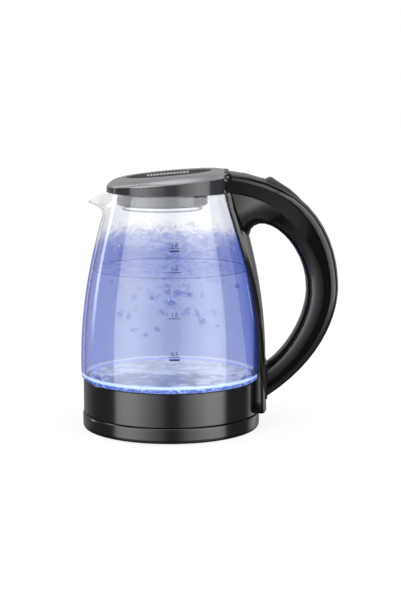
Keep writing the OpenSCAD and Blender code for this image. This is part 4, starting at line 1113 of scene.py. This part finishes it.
@dataclass
class LidTop:
    """The lid's frame and inlay pressed flatter than their solids, and the ribbed strip on them."""

    reach: float = 54.2 * MM
    tilt: float = 5.0
    band_h: float = 4.4 * MM
    old_height: float = 9.0 * MM
    height: float = 6.0 * MM
    shoulder: float = 13.0 * MM
    # Powers that round the solid's dome, and the shoulder of the flatter top
    dome_powers: tuple[float, float] = (4.2, 0.625)
    shoulder_power: float = 2.4
    inlay_lift: float = 1.35 * MM
    inlay_x: float = -1.5 * MM
    ribs: int = 13
    pitch: float = 2.8 * MM
    rib: tuple[float, float] = (1.7 * MM, 16 * MM)
    strip_t: float = 0.4 * MM

    def placed(self) -> Matrix:
        """From the slanting plane under the lid's top to the frame."""
        side = Vector((-self.reach, 0, self.seam()))
        return (Matrix.Translation(side) @ Matrix.Rotation(math.radians(-self.tilt), 4, "Y")
                @ Matrix.Translation((self.reach, 0, 0)))

    def seam(self) -> float:
        """Height of the seam between the lid's side band and its top, at the spout."""
        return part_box("lid_band")[0].z + self.band_h

    def solid_top(self, radius: float) -> float:
        """Height of the solid's dome at a distance from its middle."""
        share = min(radius / self.reach, 1.0)
        inner, outer = self.dome_powers
        return self.old_height * (1 - share**inner) ** outer

    def top(self, radius: float) -> float:
        """Height of the flatter top at a distance from its middle."""
        fall = max(0.0, 1 - (self.reach + 0.5 * MM - radius) / self.shoulder)
        return self.height * (1 - fall**self.shoulder_power)

    def pressed(self, node: str, lift: float, finish: object) -> bpy.types.Object:
        """A copy of one of the lid's solids, moved down to the flatter top.

        Args:
            node: the solid's name.
            lift: how much higher it then lies.
            finish: the copy's finish.

        Returns:
            The new piece.
        """
        bm = bmesh.new()
        bm.from_mesh(NODES[node].data)
        bmesh.ops.remove_doubles(bm, verts=bm.verts, dist=0.002 * MM)
        placed = self.placed()
        back = placed.inverted()
        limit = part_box("lid_band")[1].x - 0.05 * MM
        for vert in bm.verts:
            flat = back @ vert.co
            if vert.co.x > limit or flat.z < 0.1 * MM:
                continue
            radius = flat.to_2d().length
            sink = min(0.0, self.top(radius) - self.solid_top(radius))
            flat.z += lift + sink * min(1.0, flat.z / (2 * MM))
            vert.co = placed @ flat
        piece = mesh_object(node + "_skin", bm, finish, Body.LID, 30)
        piece.data.materials.append(Palette.get(Palette.handle_black))
        for face in piece.data.polygons:
            face.material_index = int(face.center.x > limit)
        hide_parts(node)
        return piece

    def strip(self) -> bpy.types.Object:
        """The bright ribbed strip in the middle of the inlay."""
        bm = bmesh.new()
        foot = self.height - 0.2 * MM
        middle = (self.ribs - 1) / 2
        blocks = [(self.inlay_x + self.pitch * (i - middle), *self.rib) for i in range(self.ribs)]
        blocks.append((self.inlay_x, self.pitch * (self.ribs - 1), self.rib[0] * 0.9))
        for x, wide, deep in blocks:
            size = Matrix.Diagonal((wide, deep, self.strip_t, 1))
            place = self.placed() @ Matrix.Translation((x, 0, foot + self.strip_t / 2)) @ size
            bmesh.ops.create_cube(bm, size=1, matrix=place)
        piece = mesh_object("lid_trim_strip", bm, Palette.strip_bright, Body.LID, 30)
        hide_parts("lid_trim")
        return piece

    def build(self) -> None:
        """Make the three pieces."""
        self.pressed("lid_frame", 0.0, Palette.lacquer_grey)
        self.pressed("lid_panel", self.inlay_lift, Palette.inlay_dark)
        self.strip()


# ---- Studio ------------------------------------------------------------------------------


@dataclass
class SoftBox:
    """A large soft light that faces the kettle."""

    name: str
    azimuth: float
    elevation: float
    distance: float
    width: float
    height: float
    radiance: float
    aim_z: float = 0.1

    def build(self) -> None:
        """Hang the light."""
        lamp = bpy.data.lights.new(self.name, "AREA")
        lamp.shape = "RECTANGLE"
        lamp.size = self.width
        lamp.size_y = self.height
        lamp.energy = self.radiance * math.pi * self.width * self.height
        holder = bpy.data.objects.new(self.name, lamp)
        bpy.context.scene.collection.objects.link(holder)
        a, e = math.radians(self.azimuth), math.radians(self.elevation)
        away = Vector((math.sin(a) * math.cos(e), -math.cos(a) * math.cos(e), math.sin(e)))
        holder.location = Vector((0, 0, self.aim_z)) + away * self.distance
        holder.rotation_euler = away.to_track_quat("Z", "Y").to_euler()
        holder.visible_glossy = False
        log.info("light %s: %.0f W", self.name, lamp.energy)


@dataclass
class Studio:
    """A white floor, a white surround, soft lights and the camera."""

    floor_size: float = 8.0
    shadow_share: float = 0.22
    camera_place: tuple[float, float, float] = (0.01329, -1.31723, 0.31156)
    camera_target: tuple[float, float, float] = (0.02535, 0.0, 0.10837)
    focal: float = 93.2
    lights: tuple[SoftBox, ...] = (SoftBox("soft_top", 20, 62, 1.6, 1.4, 1.4, 1.2),)
    # What shiny surfaces see round the kettle: azimuth in degrees from the camera's side, brightness
    panels: tuple[tuple[float, float], ...] = (
        (-180, 0.3), (-153, 0.33), (-140, 0.28), (-130, 0.21), (-118, 0.1), (-77.5, 0.1), (-76, 1.9),
        (-64, 2.5), (-49, 2.5), (-28, 1.35), (-15, 0.8), (-6, 0.25), (-2, 0.16), (9, 0.16), (18, 0.9),
        (31, 1.65), (52, 2.7), (67, 2.5), (74, 1.9), (75.5, 0.1), (118, 0.08), (128, 0.9), (142, 0.9),
        (150, 0.3), (180, 0.3))
    # The same up and down: elevation in degrees, share of that brightness
    levels: tuple[tuple[float, float], ...] = (
        (-90, 0.1), (-26, 0.12), (-18, 0.35), (-14.2, 0.85), (-12.5, 1), (32, 1), (44, 0), (90, 0))
    overhead: float = 1.15
    overhead_rise: tuple[float, float] = (58, 72)
    # A narrow bright light at the side: its brightness, its two soft ends round the kettle and its lower end
    streak: float = 3.2
    streak_left: tuple[float, float] = (-125, -121)
    streak_right: tuple[float, float] = (-118, -114)
    streak_rise: tuple[float, float] = (-8, 2)
    paper_glow: float = 1.06

    def seen_directly(self, tree: Tree) -> bpy.types.NodeSocket:
        """1 for rays that show the surround: from the camera, through glass or off a mirror."""
        path = tree.add("LightPath")
        found = tree.math("MAXIMUM", path.outputs["Is Camera Ray"], path.outputs["Is Transmission Ray"])
        return tree.math("MAXIMUM", found, path.outputs["Is Glossy Ray"])

    def floor(self) -> None:
        """The white floor, which keeps a soft shadow."""
        material = bpy.data.materials.new("floor_white")
        material.use_nodes = True
        material.node_tree.nodes.clear()
        tree = Tree(material.node_tree)
        paper = tree.add("BsdfDiffuse", Color=rgba((0.9, 0.9, 0.9)))
        white = tree.add("Emission", Color=rgba((1, 1, 1)), Strength=self.paper_glow)
        share = tree.product(self.seen_directly(tree), 1 - self.shadow_share)
        mixed = tree.add("MixShader", Fac=share)
        tree.put(mixed.inputs[1], paper.outputs[0])
        tree.put(mixed.inputs[2], white.outputs[0])
        tree.put(tree.add("OutputMaterial").inputs["Surface"], mixed.outputs[0])
        bm = bmesh.new()
        bmesh.ops.create_grid(bm, x_segments=1, y_segments=1, size=self.floor_size / 2)
        mesh = bpy.data.meshes.new("floor")
        bm.to_mesh(mesh)
        bm.free()
        mesh.materials.append(material)
        floor = bpy.data.objects.new("floor", mesh)
        bpy.context.scene.collection.objects.link(floor)
        floor.visible_glossy = False

    def profile(self, tree: Tree, value: object, low: float, high: float,
                points: Sequence[tuple[float, float]], scale: float) -> bpy.types.NodeSocket:
        """A brightness that follows a list of points.

        Args:
            tree: the world's tree.
            value: what the brightness hangs on, in degrees.
            low: the value at the left end of the ramp.
            high: the value at its right end.
            points: value and brightness pairs in order.
            scale: the brightness that the ramp's white stands for.

        Returns:
            The brightness.
        """
        ramp = tree.add("ValToRGB", Fac=tree.ramp(value, low, high, smooth=False))
        stops = ramp.color_ramp.elements
        while len(stops) < len(points):
            stops.new(0.5)
        for stop, (place, level) in zip(stops, points):
            stop.position = (place - low) / (high - low)
            stop.color = (level / scale, level / scale, level / scale, 1)
        return tree.product(ramp.outputs[0], scale)

    def surround(self) -> None:
        """White all round to the camera and through the glass; soft panels to shiny surfaces."""
        world = bpy.data.worlds.new("surround")
        bpy.context.scene.world = world
        world.use_nodes = True
        world.node_tree.nodes.clear()
        tree = Tree(world.node_tree)
        axes = tree.add("SeparateXYZ", Vector=tree.add("TexCoord").outputs["Generated"]).outputs
        turn = tree.math("DEGREES", tree.math("ARCTAN2", axes["X"], tree.product(axes["Y"], -1.0)))
        rise = tree.math("DEGREES", tree.math("ARCSINE", axes["Z"]))
        round_about = self.profile(tree, turn, -180, 180, self.panels, 3.0)
        up_down = self.profile(tree, rise, -90, 90, self.levels, 1.0)
        panels = tree.product(round_about, up_down)
        strip = tree.between(turn, self.streak_left, self.streak_right)
        strip = tree.product(strip, tree.ramp(rise, *self.streak_rise, 0.0, self.streak, smooth=False))
        top = tree.ramp(rise, *self.overhead_rise, 0.0, self.overhead)
        mirror = tree.math("ADD", tree.math("ADD", panels, strip), top)
        path = tree.add("LightPath").outputs
        through = tree.math("GREATER_THAN", path["Transmission Depth"], 0.5)
        white = tree.math("MAXIMUM", path["Is Camera Ray"], through)
        light = tree.mix(path["Is Glossy Ray"], rgba((0.92, 0.93, 0.95)), mirror)
        back = tree.add("Background", Color=tree.mix(white, light, rgba((1, 1, 1))), Strength=1.0)
        tree.put(tree.add("OutputWorld").inputs["Surface"], back.outputs[0])

    def camera(self) -> None:
        """The camera, level and a little above the kettle."""
        lens = bpy.data.cameras.new("camera")
        lens.lens = self.focal
        lens.sensor_width = 36
        lens.clip_start = 0.05
        holder = bpy.data.objects.new("camera", lens)
        bpy.context.scene.collection.objects.link(holder)
        place, target = Vector(self.camera_place), Vector(self.camera_target)
        holder.location = place
        holder.rotation_euler = (place - target).to_track_quat("Z", "Y").to_euler()
        bpy.context.scene.camera = holder

    def build(self) -> None:
        """Set everything up."""
        self.camera()
        self.surround()
        self.floor()
        for light in self.lights:
            light.build()
        bpy.context.scene.view_settings.view_transform = "Standard"


def main() -> None:
    """Build the studio, then each sub-assembly in order."""
    Studio().build()
    Solids().build()
    LidTop().build()
    jug = GlassJug()
    jug.build()
    Boil(jug).build()
    LevelMarks(jug).build()


if __name__ == "__main__":
    main()
